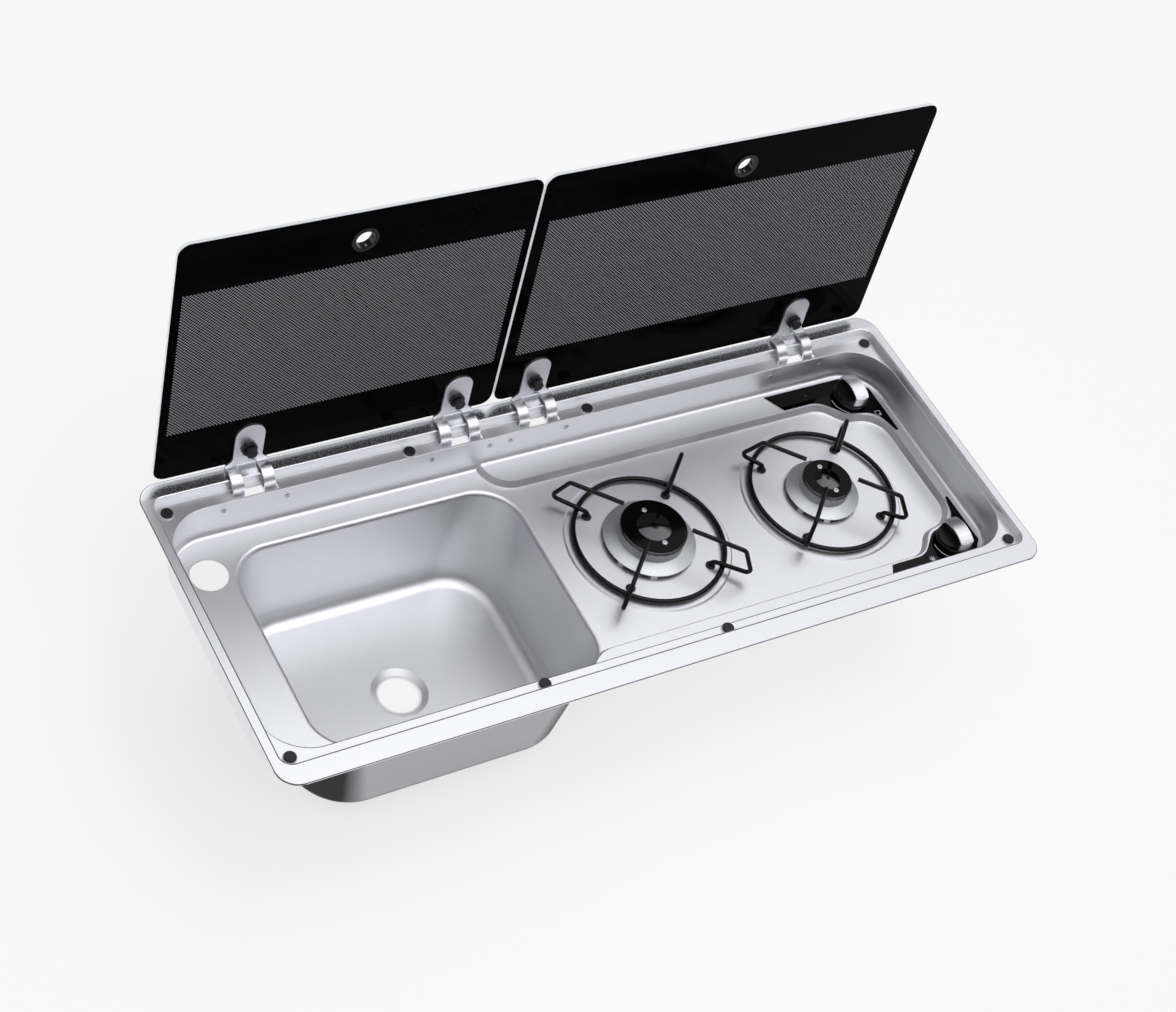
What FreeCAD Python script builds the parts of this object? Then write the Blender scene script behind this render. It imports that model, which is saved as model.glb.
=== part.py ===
import FreeCAD, Part
import math
import os

# Built-in hob and sink unit with two hinged glass lids.
# Millimetres. Origin on the worktop, in the middle of the rim; +X to the hob, +Y to the hinges, +Z up.

os.makedirs("parts", exist_ok=True)

V = FreeCAD.Vector
UP = V(0, 0, 1)
ALONG = V(1, 0, 0)
BACK = V(0, 1, 0)

# Pressed tray, from the well outward
SHEET = 0.8
WELL_HALF_LENGTH = 438.0
WELL_HALF_DEPTH = 147.5
WELL_CORNER = 50.0
WELL_FILLET = 5.0
END_LEDGE = 0.8
FRONT_LEDGE = 13.5
BACK_LEDGE = 18.5
LEDGE_CORNER = 12.0
LEDGE_ROLL = 0.6
BACK_BEAD_WIDTH = 4.2
BACK_BEAD = 0.9
END_RIM = 11.2
FRONT_RIM = 24.0
BACK_RIM = 19.0
RIM_CORNER = 23.0
RIM_ROLL = 1.6
RIM_EDGE = 0.6
RIM_TOP = 2.0
LIP_CLEAR = 0.3
STEP_HALF_LENGTH = WELL_HALF_LENGTH + END_LEDGE
STEP_FRONT = -WELL_HALF_DEPTH - FRONT_LEDGE
STEP_BACK = WELL_HALF_DEPTH + BACK_LEDGE
RIM_HALF_LENGTH = STEP_HALF_LENGTH + END_RIM
RIM_FRONT = STEP_FRONT - FRONT_RIM
RIM_BACK = STEP_BACK + BACK_RIM

# Heights of the pressing
LEDGE_DROP = 9.0
WELL_DROP = 39.5
DECK_DROP = 6.5
PAD_RISE = 1.7
LEDGE_Z = RIM_TOP - LEDGE_DROP
SHELF_Z = LEDGE_Z - WELL_DROP
DECK_Z = SHELF_Z - DECK_DROP
PAD_Z = DECK_Z + PAD_RISE
UNDER_PAD = PAD_Z - SHEET

# Places of the knobs, burners and bowl
KNOB_FROM_END = 43.0
KNOB_FROM_SIDE = 37.5
BURNER_FROM_KNOB = 108.0
BURNER_PITCH = 226.0
BOWL_FROM_BURNER = 117.5
BOWL_FROM_END = 65.5
BOWL_FRONT_LAND = 15.5
BOWL_BACK_LAND = 30.5
KNOB_X = WELL_HALF_LENGTH - KNOB_FROM_END
KNOB_Y = WELL_HALF_DEPTH - KNOB_FROM_SIDE
RIGHT_BURNER_X = KNOB_X - BURNER_FROM_KNOB
LEFT_BURNER_X = RIGHT_BURNER_X - BURNER_PITCH
BOWL_LEFT = BOWL_FROM_END - WELL_HALF_LENGTH
BOWL_RIGHT = LEFT_BURNER_X - BOWL_FROM_BURNER
BOWL_FRONT = BOWL_FRONT_LAND - WELL_HALF_DEPTH
BOWL_BACK = WELL_HALF_DEPTH - BOWL_BACK_LAND

# Raised shelf round the hob and the round pads under the burners
PAD_R = 93.0
PAD_SLOPE = 2.0
PAD_LAND = 16.6
SLOPE_WIDTH = 4.4
SEAM_INSET = 1.0
SHELF_END_WIDTH = 16.0
SHELF_TIP_FRONT = 25.5
SHELF_TIP_FRONT_R = 35.0
SHELF_TIP_BACK = 13.5
SHELF_TIP_BACK_R = 32.0
BULGE_START = 39.0
BULGE_START_R = 28.0
BULGE_NOSE = 18.0
BULGE_NOSE_RUN = 22.0
BULGE_NOSE_R = 22.0
BULGE_END_RUN = 30.0
BULGE_END_R = 35.0
OUTSIDE_WELL = 60.0
SHELF_INNER = PAD_R + PAD_LAND + SLOPE_WIDTH
SHELF_RIGHT = WELL_HALF_LENGTH - SHELF_END_WIDTH
BULGE_START_X = KNOB_X - BULGE_START
BULGE_NOSE_X = KNOB_X - BULGE_NOSE
BULGE_NOSE_Y = KNOB_Y - BULGE_NOSE_RUN
BULGE_END_Y = KNOB_Y - BULGE_END_RUN

# Worktop seal
SEAL_INSET = 1.6
SEAL_END_WIDTH = 6.9
SEAL_SIDE_WIDTH = 5.9
SEAL_INNER_CORNER = 15.0

# Sink bowl, drain and tap hole
BOWL_TOP_CORNER = 44.0
BOWL_LOW_CORNER = 66.0
BOWL_DRAFT = 5.0
BOWL_DEPTH = 132.5
BOWL_FILLET = 16.0
BOWL_ROLL = 5.0
DRAIN_BEFORE_MIDDLE = 6.4
DRAIN_R = 22.5
DRAIN_DISH_R = 31.0
DRAIN_DISH_LOW_R = 24.5
DRAIN_DISH_DEPTH = 4.5
TAP_FROM_END = 40.4
TAP_FROM_BACK = 47.5
TAP_R = 19.5
BOWL_BOTTOM_Z = DECK_Z - BOWL_DEPTH
DRAIN_X = (BOWL_LEFT + BOWL_RIGHT) / 2
DRAIN_Y = (BOWL_FRONT + BOWL_BACK) / 2 - DRAIN_BEFORE_MIDDLE
TAP_X = TAP_FROM_END - WELL_HALF_LENGTH
TAP_Y = WELL_HALF_DEPTH - TAP_FROM_BACK

# Lids in their open pose
LID_THICK = 5.0
LID_CORNER = 13.0
LID_EDGE = 0.6
LID_LEAN = 3.4
LID_END_GAP = 7.8
LID_DEPTH_GAP = 21.0
LID_SPLIT_FROM_BOWL = 5.5
LID_GAP = 3.0
LID_FOOT_BEHIND = 10.0
LID_FOOT_ABOVE = 20.5
FINGER_FROM_EDGE = 34.0
FINGER_HOLE_R = 10.0
FINGER_NECK_R = 11.8
FINGER_FLANGE_R = 14.2
FINGER_FLANGE_THICK = 1.8
FINGER_SLIT = 2.0
FINGER_SLIT_TURNS = (5.0, 72.0)
LID_LENGTH = STEP_BACK - STEP_FRONT - LID_DEPTH_GAP
LID_OUTER_X = STEP_HALF_LENGTH - LID_END_GAP
LID_SPLIT_X = BOWL_RIGHT + LID_SPLIT_FROM_BOWL
FINGER_UP = LID_LENGTH - FINGER_FROM_EDGE

# Lid bumpers on the ledge
BUMPER_R = 6.2
BUMPER_HEAD = 2.4
BUMPER_EDGE = 0.9
BUMPER_STEM_R = 3.0
BUMPER_POINT_R = 2.0
BUMPER_BARB_R = 4.4
BUMPER_BARB_DEPTH = 3.0
COLLAR_R = 7.0
COLLAR_THICK = 1.0
BUMPER_FROM_END = 11.8
BUMPER_CORNER_FRONT = 11.5
BUMPER_CORNER_BACK = 15.0
BUMPER_MIDDLE_FRONT = 7.2
BUMPER_MIDDLE_BACK = 11.4
BUMPER_FROM_SPLIT = 107.3

# Lid hinges
HINGE_FROM_OUTER = 99.0
HINGE_FROM_INNER = 45.5
PIVOT_BEHIND_STEP = 6.0
PIVOT_BELOW_LEDGE = 5.0
PIN_R = 3.0
PIN_CLEAR = 0.05
PIN_END = 1.0
BARREL_R = 5.0
STRAP_INNER_R = 16.4
STRAP_THICK = 2.5
STRAP_WIDTH = 12.0
STRAP_GAP = 22.0
STRAP_TOP_ANGLE = 62.0
STRAP_END_ANGLE = 183.0
WEB_ANGLE = 176.0
WEB_THICK = 3.0
PLATE_THICK = 2.5
PLATE_WIDTH = 32.0
PLATE_UP = 52.0
PLATE_DOWN = 5.2
PLATE_FLARE_UP = 6.0
PLATE_FLARE_R = 6.0
PLATE_FOOT_R = 3.0
SLOT_SIDE = 2.0
SLOT_BEFORE_STRAP = 3.5
SLOT_BEHIND_STRAP = 4.0
SLOT_CORNER = 1.5
BRACKET_THICK = 1.5
BRACKET_HALF = 41.0
BRACKET_BELOW_LEDGE = 1.4
BRACKET_HEIGHT = 23.6
CHEEK_SIDE = 1.2
CHEEK_THICK = 2.0
CHEEK_R = 4.8
CHEEK_TOP_RUN = 8.0
RIVET_SPREAD = 34.5
RIVET_BELOW_LEDGE = 12.6
RIVET_R = 2.0
RIVET_HEAD_R = 3.2
RIVET_FACE_R = 2.3
RIVET_HEAD = 1.0
RIVET_DIMPLE_R = 1.2
RIVET_DIMPLE = 0.7
SCREW_UP = 20.0
SCREW_R = 3.0
SCREW_COLLAR_R = 8.4
SCREW_COLLAR = 3.6
SCREW_COLLAR_EDGE = 0.8
SCREW_HEAD_R = 6.2
SCREW_HEAD = 5.8
SCREW_HEAD_SIDES = 8
DISC_R = 9.0
DISC_THICK = 1.6
SINK_HINGES = (HINGE_FROM_OUTER - LID_OUTER_X, LID_SPLIT_X - LID_GAP / 2 - HINGE_FROM_INNER)
HOB_HINGES = (LID_SPLIT_X + LID_GAP / 2 + HINGE_FROM_INNER, LID_OUTER_X - HINGE_FROM_OUTER)
PIVOT_Y = STEP_BACK + PIVOT_BEHIND_STEP
PIVOT_Z = LEDGE_Z - PIVOT_BELOW_LEDGE
LID_FOOT_Y = PIVOT_Y + LID_FOOT_BEHIND
LID_FOOT_Z = PIVOT_Z + LID_FOOT_ABOVE
STRAP_OUTER_R = STRAP_INNER_R + STRAP_THICK
HINGE_HALF = STRAP_GAP / 2 + STRAP_WIDTH
SLOT_FRONT = PIVOT_Y - STRAP_OUTER_R - SLOT_BEFORE_STRAP
SLOT_BACK = PIVOT_Y - STRAP_INNER_R + SLOT_BEHIND_STRAP
BRACKET_TOP = LEDGE_Z - BRACKET_BELOW_LEDGE
BRACKET_LOW = BRACKET_TOP - BRACKET_HEIGHT
RIVET_Z = LEDGE_Z - RIVET_BELOW_LEDGE
BEHIND_WALL = WELL_HALF_DEPTH + SHEET

# Burners
LEFT_CAP_R = 37.0
LEFT_RING_R = 51.0
LEFT_SCREW_OUT = 23.0
RIGHT_CAP_R = 28.2
RIGHT_RING_R = 42.0
RIGHT_SCREW_OUT = 17.5
CAP_RISE = 24.8
CAP_THICK = 3.4
CAP_EDGE = 1.2
DOME_SHARE = 0.51
DOME_RISE = 1.7
HEAD_INSET = 0.4
HEAD_RISE = 5.3
HEAD_BORE_INSET = 19.0
PORT_COUNT = 24
PORT_WIDTH = 1.8
PORT_HEIGHT = 2.2
PORT_DEPTH = 3.0
RING_THICK = 1.0
RING_INNER_RISE = 9.6
RING_OUTER_RISE = 5.7
RING_FEET = 8
RING_FOOT_WIDTH = 7.0
RING_FOOT_THICK = 1.4
RING_FOOT_INSET = 1.5
BURNER_HOLE_INSET = 6.5
CAP_SCREW_R = 1.6
CAP_SCREW_HEAD_R = 3.0
CAP_SCREW_HEAD = 1.3
CAP_SCREW_EDGE = 0.5
CAP_SCREW_SOCKET_R = 1.2
CAP_SCREW_SOCKET = 0.8
CAP_SCREW_BITE = 5.0
CUP_WALL = 1.5
CUP_INSET = 5.0
CUP_FLANGE = 4.0
CUP_DEPTH = 25.9
NECK_INSET = 5.0
NECK_WALL = 4.0
PROBE_OUT = 4.0
PROBE_R = 1.6
PROBE_TIP = 1.44
PROBE_BELOW_CAP = 4.5
PROBE_TAIL = 2.0
SPARK_R = 1.3
SPARK_BELOW_CAP = 7.5
INJECTOR_R = 6.0
INJECTOR_LENGTH = 15.0
NUT_HALF = 8.0
NUT_CORNER = 2.0
NUT_ABOVE_PIPE = 4.0
NUT_BELOW_PIPE = 6.0
CAP_TOP = PAD_Z + CAP_RISE
CAP_LOW = CAP_TOP - CAP_THICK
HEAD_LOW = PAD_Z + HEAD_RISE
RING_INNER_Z = PAD_Z + RING_INNER_RISE
RING_OUTER_Z = PAD_Z + RING_OUTER_RISE
CUP_LOW = UNDER_PAD - CUP_DEPTH
PROBE_LOW = CUP_LOW - PROBE_TAIL

# Wire pan supports
LEFT_ARM_OUT = 113.7
LEFT_ARM_KNEE = 98.8
LEFT_ARM_TIP = 38.5
RIGHT_ARM_OUT = 98.5
RIGHT_ARM_KNEE = 80.5
RIGHT_ARM_TIP = 30.3
ARM_R = 2.5
ARM_BEND = 5.0
RING_ROD_R = 2.8
SUPPORT_RING_R = 83.0
FOOT_OUT = 70.5
FOOT_SUNK = 3.2
LEG_RISE = 7.6
LEG_CLIMB = 3.7
TOP_BAR_RISE = 41.1
WELD_BITE = 0.8
GROMMET_R = 5.3
GROMMET_RISE = 2.0
GROMMET_EDGE = 1.0
GROMMET_NECK_R = 4.6
GROMMET_TAIL_R = 6.0
GROMMET_TAIL = 2.4
FOOT_CLEAR = 0.06
FOOT_LOW = PAD_Z - FOOT_SUNK
LEG_Z = PAD_Z + LEG_RISE
LEG_OUT_Z = LEG_Z + LEG_CLIMB
TOP_BAR_Z = PAD_Z + TOP_BAR_RISE
GROMMET_TOP = PAD_Z + GROMMET_RISE

# Controls
KNOB_R = 21.0
KNOB_SKIRT = 4.0
KNOB_SKIRT_EDGE = 1.0
KNOB_DRUM_R = 19.5
KNOB_HEIGHT = 20.9
KNOB_SHOULDER = 6.0
KNOB_DRUM_BELOW = 9.0
KNOB_LIFT = 3.8
GRIP_HALF = 8.6
GRIP_ARCH_R = 34.0
SCOOP_R = 14.0
STRIP_THICK = 1.4
STRIP_PROUD = 0.4
STRIP_RISE = 4.5
PANEL_THICK = 0.8
PANEL_LENGTH = 101.0
PANEL_SLANT = 14.0
PANEL_EDGE = 2.0
PANEL_NOSE_LIFT = 3.0
PANEL_NOSE_R = 18.0
PANEL_WAIST = 6.0
PANEL_WAIST_R = 23.0
PANEL_END_GAP = 10.5
PANEL_SIDE_GAP = 7.5
PANEL_TIP_RUN = 58.0
PANEL_TIP_WIDTH = 3.0
PANEL_CORNER_X = 22.0
PANEL_CORNER_Y = 24.0
PANEL_CORNER_R = 20.0
SPINDLE_R = 4.0
SPINDLE_HOLE_R = 6.0
SPINDLE_COVER = 6.0
JOURNAL_R = 3.0
JOURNAL_LENGTH = 6.0
JOURNAL_ROOM = 1.0
PLUNGER_R = 5.95
PLUNGER_DROP = 15.5
PLUNGER_LENGTH = 12.0
PLUNGER_ROOM = 6.0
FACE_CLEAR = 0.1
RUN_CLEAR = 0.05
VALVE_HALF = 15.0
VALVE_CORNER = 4.0
VALVE_BELOW_PIPE = 7.0
PANEL_TOP = SHELF_Z + PANEL_THICK
KNOB_LOW = PANEL_TOP + KNOB_LIFT
KNOB_TOP = KNOB_LOW + KNOB_HEIGHT
SPINDLE_TOP = KNOB_TOP - SPINDLE_COVER
PLUNGER_TOP = SHELF_Z - PLUNGER_DROP

# Gas pipes
FEED_R = 3.0
PIPE_BELOW_CUP = 7.0
PIPE_BEND = 16.0
MANIFOLD_R = 5.0
MANIFOLD_FROM_VALVE = 11.0
MANIFOLD_BEND = 9.0
INLET_R = 4.0
INLET_BORE_R = 3.0
INLET_DROP = 45.0
INLET_BORE_DEPTH = 25.0
INLET_BOSS_R = 6.5
INLET_BOSS_DROP = 7.5
PIPE_Z = CUP_LOW - PIPE_BELOW_CUP
MANIFOLD_X = KNOB_X + VALVE_HALF + MANIFOLD_FROM_VALVE

# How far a cutting shape runs past what it cuts, and how close counts as the same place
PAST = 1.0
SAME = 1e-5
NEAR = 1e-3

BURNERS = (
    {
        "name": "left",
        "x": LEFT_BURNER_X,
        "cap": LEFT_CAP_R,
        "ring": LEFT_RING_R,
        "screw": LEFT_SCREW_OUT,
        "out": LEFT_ARM_OUT,
        "knee": LEFT_ARM_KNEE,
        "tip": LEFT_ARM_TIP,
    },
    {
        "name": "right",
        "x": RIGHT_BURNER_X,
        "cap": RIGHT_CAP_R,
        "ring": RIGHT_RING_R,
        "screw": RIGHT_SCREW_OUT,
        "out": RIGHT_ARM_OUT,
        "knee": RIGHT_ARM_KNEE,
        "tip": RIGHT_ARM_TIP,
    },
)


def corner_points(points, at):
    """Tangent points and middle of the arc that rounds one corner of a closed outline."""
    x, y, r = points[at]
    before = points[at - 1]
    after = points[(at + 1) % len(points)]
    here = V(x, y, 0)
    back = (V(before[0], before[1], 0) - here).normalize()
    ahead = (V(after[0], after[1], 0) - here).normalize()
    if r <= 0:
        return here, here, here
    half = back.getAngle(ahead) / 2
    reach = r / math.tan(half)
    middle = (back + ahead).normalize()
    centre = here + middle * (r / math.sin(half))
    return here + back * reach, centre - middle * r, here + ahead * reach


def outline(points, z):
    """Closed flat wire through (x, y, corner radius) points at one height."""
    lift = V(0, 0, z)
    corners = [corner_points(points, at) for at in range(len(points))]
    edges = []
    for at, (start, middle, end) in enumerate(corners):
        if (end - start).Length > SAME:
            edges.append(Part.Arc(start + lift, middle + lift, end + lift).toShape())
        onward = corners[(at + 1) % len(corners)][0]
        if (onward - end).Length > SAME:
            edges.append(Part.makeLine(end + lift, onward + lift))
    return Part.Wire(edges)


def grown(points, by):
    """The same outline with every side moved outward; corner radii follow."""
    count = len(points)
    sides = []
    for at in range(count):
        a = V(points[at][0], points[at][1], 0)
        b = V(points[(at + 1) % count][0], points[(at + 1) % count][1], 0)
        run = (b - a).normalize()
        out = V(run.y, -run.x, 0)
        sides.append((a + out * by, run))
    moved = []
    for at in range(count):
        p, d = sides[at - 1]
        q, e = sides[at]
        cross = d.x * e.y - d.y * e.x
        t = ((q.x - p.x) * e.y - (q.y - p.y) * e.x) / cross
        meet = p + d * t
        radius = points[at][2]
        if radius > 0:
            radius = radius + by if cross > 0 else radius - by
        moved.append((meet.x, meet.y, radius))
    return moved


def rectangle(x0, x1, y0, y1, r):
    """Points of a rectangle with rounded corners, anticlockwise."""
    return [(x0, y0, r), (x1, y0, r), (x1, y1, r), (x0, y1, r)]


def prism(points, low, high):
    """Upright block on an outline."""
    return Part.Face(outline(points, low)).extrude(UP * (high - low))


def cylinder(x, y, low, high, r):
    """Upright round bar."""
    return Part.makeCylinder(r, high - low, V(x, y, low), UP)


def tube(x, y, low, high, outer, inner):
    """Upright round tube."""
    return cylinder(x, y, low, high, outer).cut(cylinder(x, y, low - PAST, high + PAST, inner))


def turned(profile, x, y):
    """Solid of revolution about an upright axis from (radius, height) points."""
    points = [V(x + r, y, z) for r, z in profile]
    face = Part.Face(Part.makePolygon(points + points[:1]))
    return face.revolve(V(x, y, 0), UP, 360)


def side_profile(points, x, width):
    """Block of the given width along X from (y, z) points."""
    corners = [V(x, y, z) for y, z in points]
    return Part.Face(Part.makePolygon(corners + corners[:1])).extrude(ALONG * width)


def bent_path(points, bend):
    """Wire through the points with each inner corner rounded."""
    edges = []
    here = points[0]
    for at in range(1, len(points) - 1):
        corner = points[at]
        back = (points[at - 1] - corner).normalize()
        ahead = (points[at + 1] - corner).normalize()
        half = back.getAngle(ahead) / 2
        reach = bend / math.tan(half)
        middle = (back + ahead).normalize()
        start = corner + back * reach
        end = corner + ahead * reach
        crown = corner + middle * (bend / math.sin(half) - bend)
        edges.append(Part.makeLine(here, start))
        edges.append(Part.Arc(start, crown, end).toShape())
        here = end
    edges.append(Part.makeLine(here, points[-1]))
    return Part.Wire(edges)


def bent_rod(points, bend, r):
    """Round rod along a bent path."""
    ring = Part.Wire(Part.makeCircle(r, points[0], points[1] - points[0]))
    return bent_path(points, bend).makePipeShell([ring], True, False)


def fused(shapes):
    """One solid from several that meet."""
    return shapes[0].multiFuse(shapes[1:]).removeSplitter()


def joined(shapes):
    """One node holding several separate solids."""
    return Part.makeCompound(shapes)


def level_edges(shape, z, wire=None):
    """Edges of a shape that lie at one height and, if a wire is given, run along that wire."""
    found = []
    for edge in shape.Edges:
        box = edge.BoundBox
        if abs(box.ZMin - z) > SAME or abs(box.ZMax - z) > SAME:
            continue
        middle = edge.valueAt((edge.FirstParameter + edge.LastParameter) / 2)
        if wire is None or wire.distToShape(Part.Vertex(middle))[0] < NEAR:
            found.append(edge)
    return found


def shelf_outline():
    """Upper edge of the slope from the shelf down to the deck."""
    far_x = -WELL_HALF_LENGTH - OUTSIDE_WELL
    far_y = WELL_HALF_DEPTH + OUTSIDE_WELL
    tip_front = BOWL_RIGHT - SHELF_TIP_FRONT
    tip_back = BOWL_RIGHT - SHELF_TIP_BACK
    return [
        (far_x, -far_y, 0),
        (tip_front, -far_y, 0),
        (tip_front, -SHELF_INNER, SHELF_TIP_FRONT_R),
        (BULGE_START_X, -SHELF_INNER, BULGE_START_R),
        (BULGE_NOSE_X, -BULGE_NOSE_Y, BULGE_NOSE_R),
        (SHELF_RIGHT, -BULGE_END_Y, BULGE_END_R),
        (SHELF_RIGHT, BULGE_END_Y, BULGE_END_R),
        (BULGE_NOSE_X, BULGE_NOSE_Y, BULGE_NOSE_R),
        (BULGE_START_X, SHELF_INNER, BULGE_START_R),
        (tip_back, SHELF_INNER, SHELF_TIP_BACK_R),
        (tip_back, far_y, 0),
        (far_x, far_y, 0),
    ]


def step_outline():
    """Edge where the rim drops to the ledge."""
    return rectangle(-STEP_HALF_LENGTH, STEP_HALF_LENGTH, STEP_FRONT, STEP_BACK, LEDGE_CORNER)


def well_outline():
    """Edge where the ledge drops into the well."""
    length = WELL_HALF_LENGTH
    depth = WELL_HALF_DEPTH
    return rectangle(-length, length, -depth, depth, WELL_CORNER)


def rim_outline():
    """Outer edge of the rim."""
    return rectangle(-RIM_HALF_LENGTH, RIM_HALF_LENGTH, RIM_FRONT, RIM_BACK, RIM_CORNER)


def burner_pad(burner, skin):
    """Low round pad that the deck is raised to under a burner."""
    foot = DECK_Z - skin
    top = PAD_Z - skin
    return turned([(0, foot), (PAD_R, foot), (PAD_R - PAD_SLOPE, top), (0, top)], burner["x"], 0)


def well_volume(skin):
    """Space that the pressed tray encloses, with a skin added outside it."""
    step = step_outline()
    well = well_outline()
    bead_y = STEP_BACK - BACK_BEAD_WIDTH
    bead_z = LEDGE_Z + BACK_BEAD - skin
    bead = rectangle(-STEP_HALF_LENGTH, STEP_HALF_LENGTH, STEP_FRONT, bead_y, LEDGE_CORNER)
    upper = prism(grown(step, skin), bead_z, RIM_TOP - skin)
    ledge = prism(grown(bead, skin), LEDGE_Z - skin, bead_z)
    middle = prism(grown(well, skin), SHELF_Z - skin, LEDGE_Z - skin)
    middle = middle.makeFillet(WELL_FILLET + skin, level_edges(middle, SHELF_Z - skin))
    riser_top = SHELF_Z + 2 * WELL_FILLET
    riser = prism(grown(shelf_outline(), skin), SHELF_Z - skin, riser_top)
    top = outline(grown(shelf_outline(), skin), SHELF_Z - skin)
    low = outline(grown(shelf_outline(), skin - SLOPE_WIDTH), DECK_Z - skin)
    basin = Part.makeLoft([top, low], True, True)
    lower = fused([riser, basin]).common(prism(grown(well, skin), DECK_Z - skin, riser_top))
    for burner in BURNERS:
        lower = lower.cut(burner_pad(burner, skin))
    space = fused([upper, ledge, middle, lower])
    foot = level_edges(space, DECK_Z - skin, outline(grown(well, skin), DECK_Z - skin))
    return space.makeFillet(WELL_FILLET + skin, foot)


def bowl_flange():
    """Outline where the bowl is welded into the deck."""
    wide = BOWL_ROLL + SHEET
    corner = BOWL_TOP_CORNER + wide
    return rectangle(BOWL_LEFT - wide, BOWL_RIGHT + wide, BOWL_FRONT - wide, BOWL_BACK + wide, corner)


def hinge_places():
    """X of all four hinges."""
    return SINK_HINGES + HOB_HINGES


def bumper_places():
    """Centres of the lid bumpers: one in each corner of the ledge and four by the middle."""
    corner_x = STEP_HALF_LENGTH - BUMPER_FROM_END
    places = []
    for side in (-1, 1):
        places.append((side * corner_x, STEP_BACK - BUMPER_CORNER_BACK))
        places.append((side * corner_x, STEP_FRONT + BUMPER_CORNER_FRONT))
        places.append((LID_SPLIT_X + side * BUMPER_FROM_SPLIT, STEP_BACK - BUMPER_MIDDLE_BACK))
        places.append((LID_SPLIT_X + side * BUMPER_FROM_SPLIT, STEP_FRONT + BUMPER_MIDDLE_FRONT))
    return places


def foot_places(burner):
    """Centres of the four pan support feet of one burner."""
    reach = FOOT_OUT * math.sqrt(0.5)
    return [(burner["x"] + i * reach, j * reach) for i in (-1, 1) for j in (-1, 1)]


def deck_holes():
    """Bars that cut the tap, burner, foot, spindle and bumper holes."""
    bars = [cylinder(TAP_X, TAP_Y, DECK_Z - SHEET - PAST, DECK_Z + PAST, TAP_R)]
    for burner in BURNERS:
        hole_r = burner["ring"] - BURNER_HOLE_INSET
        bars.append(cylinder(burner["x"], 0, UNDER_PAD - PAST, PAD_Z + PAST, hole_r))
        for x, y in foot_places(burner):
            bars.append(cylinder(x, y, UNDER_PAD - PAST, PAD_Z + PAST, GROMMET_NECK_R))
    for side in (-1, 1):
        y = side * KNOB_Y
        bars.append(cylinder(KNOB_X, y, SHELF_Z - SHEET - PAST, SHELF_Z + PAST, SPINDLE_HOLE_R))
    for x, y in bumper_places():
        bars.append(cylinder(x, y, LEDGE_Z - SHEET - PAST, LEDGE_Z + PAST, BUMPER_STEM_R))
    return bars


def hinge_cuts():
    """Blocks that cut the strap slots in the ledge and the rivet holes in the back wall."""
    half = HINGE_HALF + SLOT_SIDE
    cuts = []
    for x in hinge_places():
        slot = rectangle(x - half, x + half, SLOT_FRONT, SLOT_BACK, SLOT_CORNER)
        cuts.append(prism(slot, LEDGE_Z - SHEET - PAST, LEDGE_Z + PAST))
        for side in (-1, 1):
            start = V(x + side * RIVET_SPREAD, WELL_HALF_DEPTH - PAST, RIVET_Z)
            cuts.append(Part.makeCylinder(RIVET_R, SHEET + 2 * PAST, start, BACK))
    return cuts


def press_sheet():
    """Pressed sheet of the tray with its openings."""
    edge = rim_outline()
    rim = prism(edge, RIM_TOP - SHEET, RIM_TOP)
    lip = prism(edge, LIP_CLEAR, RIM_TOP)
    lip = lip.cut(prism(grown(edge, -SHEET), LIP_CLEAR - PAST, RIM_TOP + PAST))
    tray = fused([rim, lip, well_volume(SHEET)]).cut(well_volume(0))
    tray = tray.cut(prism(bowl_flange(), DECK_Z - SHEET - PAST, DECK_Z + PAST))
    tray = tray.cut(joined(deck_holes() + hinge_cuts()))
    return round_tray(tray)


def split_sheet():
    """Rim with the walls, shelf with the slope, and flat deck of the pressed sheet."""
    sheet = press_sheet()
    seam_z = SHELF_Z + WELL_FILLET
    low_z = DECK_Z - SHEET - PAST
    below = prism(grown(rim_outline(), PAST), low_z, seam_z)
    flat = prism(grown(shelf_outline(), -SLOPE_WIDTH - SEAM_INSET), low_z, seam_z)
    flat = flat.common(prism(grown(well_outline(), -WELL_FILLET - SEAM_INSET), low_z, seam_z))
    foot = sheet.common(below)
    return sheet.cut(below), foot.cut(flat), foot.common(flat)


def round_tray(tray):
    """Rolled edges of the rim and of the ledge."""
    tray = tray.makeFillet(RIM_EDGE, level_edges(tray, RIM_TOP, outline(rim_outline(), RIM_TOP)))
    tray = tray.makeFillet(RIM_ROLL, level_edges(tray, RIM_TOP, outline(step_outline(), RIM_TOP)))
    return tray.makeFillet(LEDGE_ROLL, level_edges(tray, LEDGE_Z, outline(well_outline(), LEDGE_Z)))


def bowl_volume(skin):
    """Space inside the sink bowl, with a skin added outside it, its drain dish and its rolled mouth."""
    mouth = rectangle(BOWL_LEFT, BOWL_RIGHT, BOWL_FRONT, BOWL_BACK, BOWL_TOP_CORNER)
    floor = rectangle(
        BOWL_LEFT + BOWL_DRAFT,
        BOWL_RIGHT - BOWL_DRAFT,
        BOWL_FRONT + BOWL_DRAFT,
        BOWL_BACK - BOWL_DRAFT,
        BOWL_LOW_CORNER,
    )
    top_z = DECK_Z - skin
    low_z = BOWL_BOTTOM_Z + SHEET - skin
    rings = [outline(grown(mouth, skin), top_z), outline(grown(floor, skin), low_z)]
    body = Part.makeLoft(rings, True, True)
    body = body.makeFillet(BOWL_FILLET + skin, level_edges(body, low_z))
    space = fused([body, prism(bowl_flange(), top_z, RIM_TOP)])
    lip = level_edges(space, top_z, outline(grown(mouth, skin), top_z))
    space = space.makeFillet(BOWL_ROLL - skin, lip)
    dish_z = low_z - DRAIN_DISH_DEPTH
    low_r = DRAIN_DISH_LOW_R + skin
    profile = [(0, dish_z), (low_r, dish_z), (DRAIN_DISH_R + skin, low_z), (0, low_z)]
    return fused([space, turned(profile, DRAIN_X, DRAIN_Y)])


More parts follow.
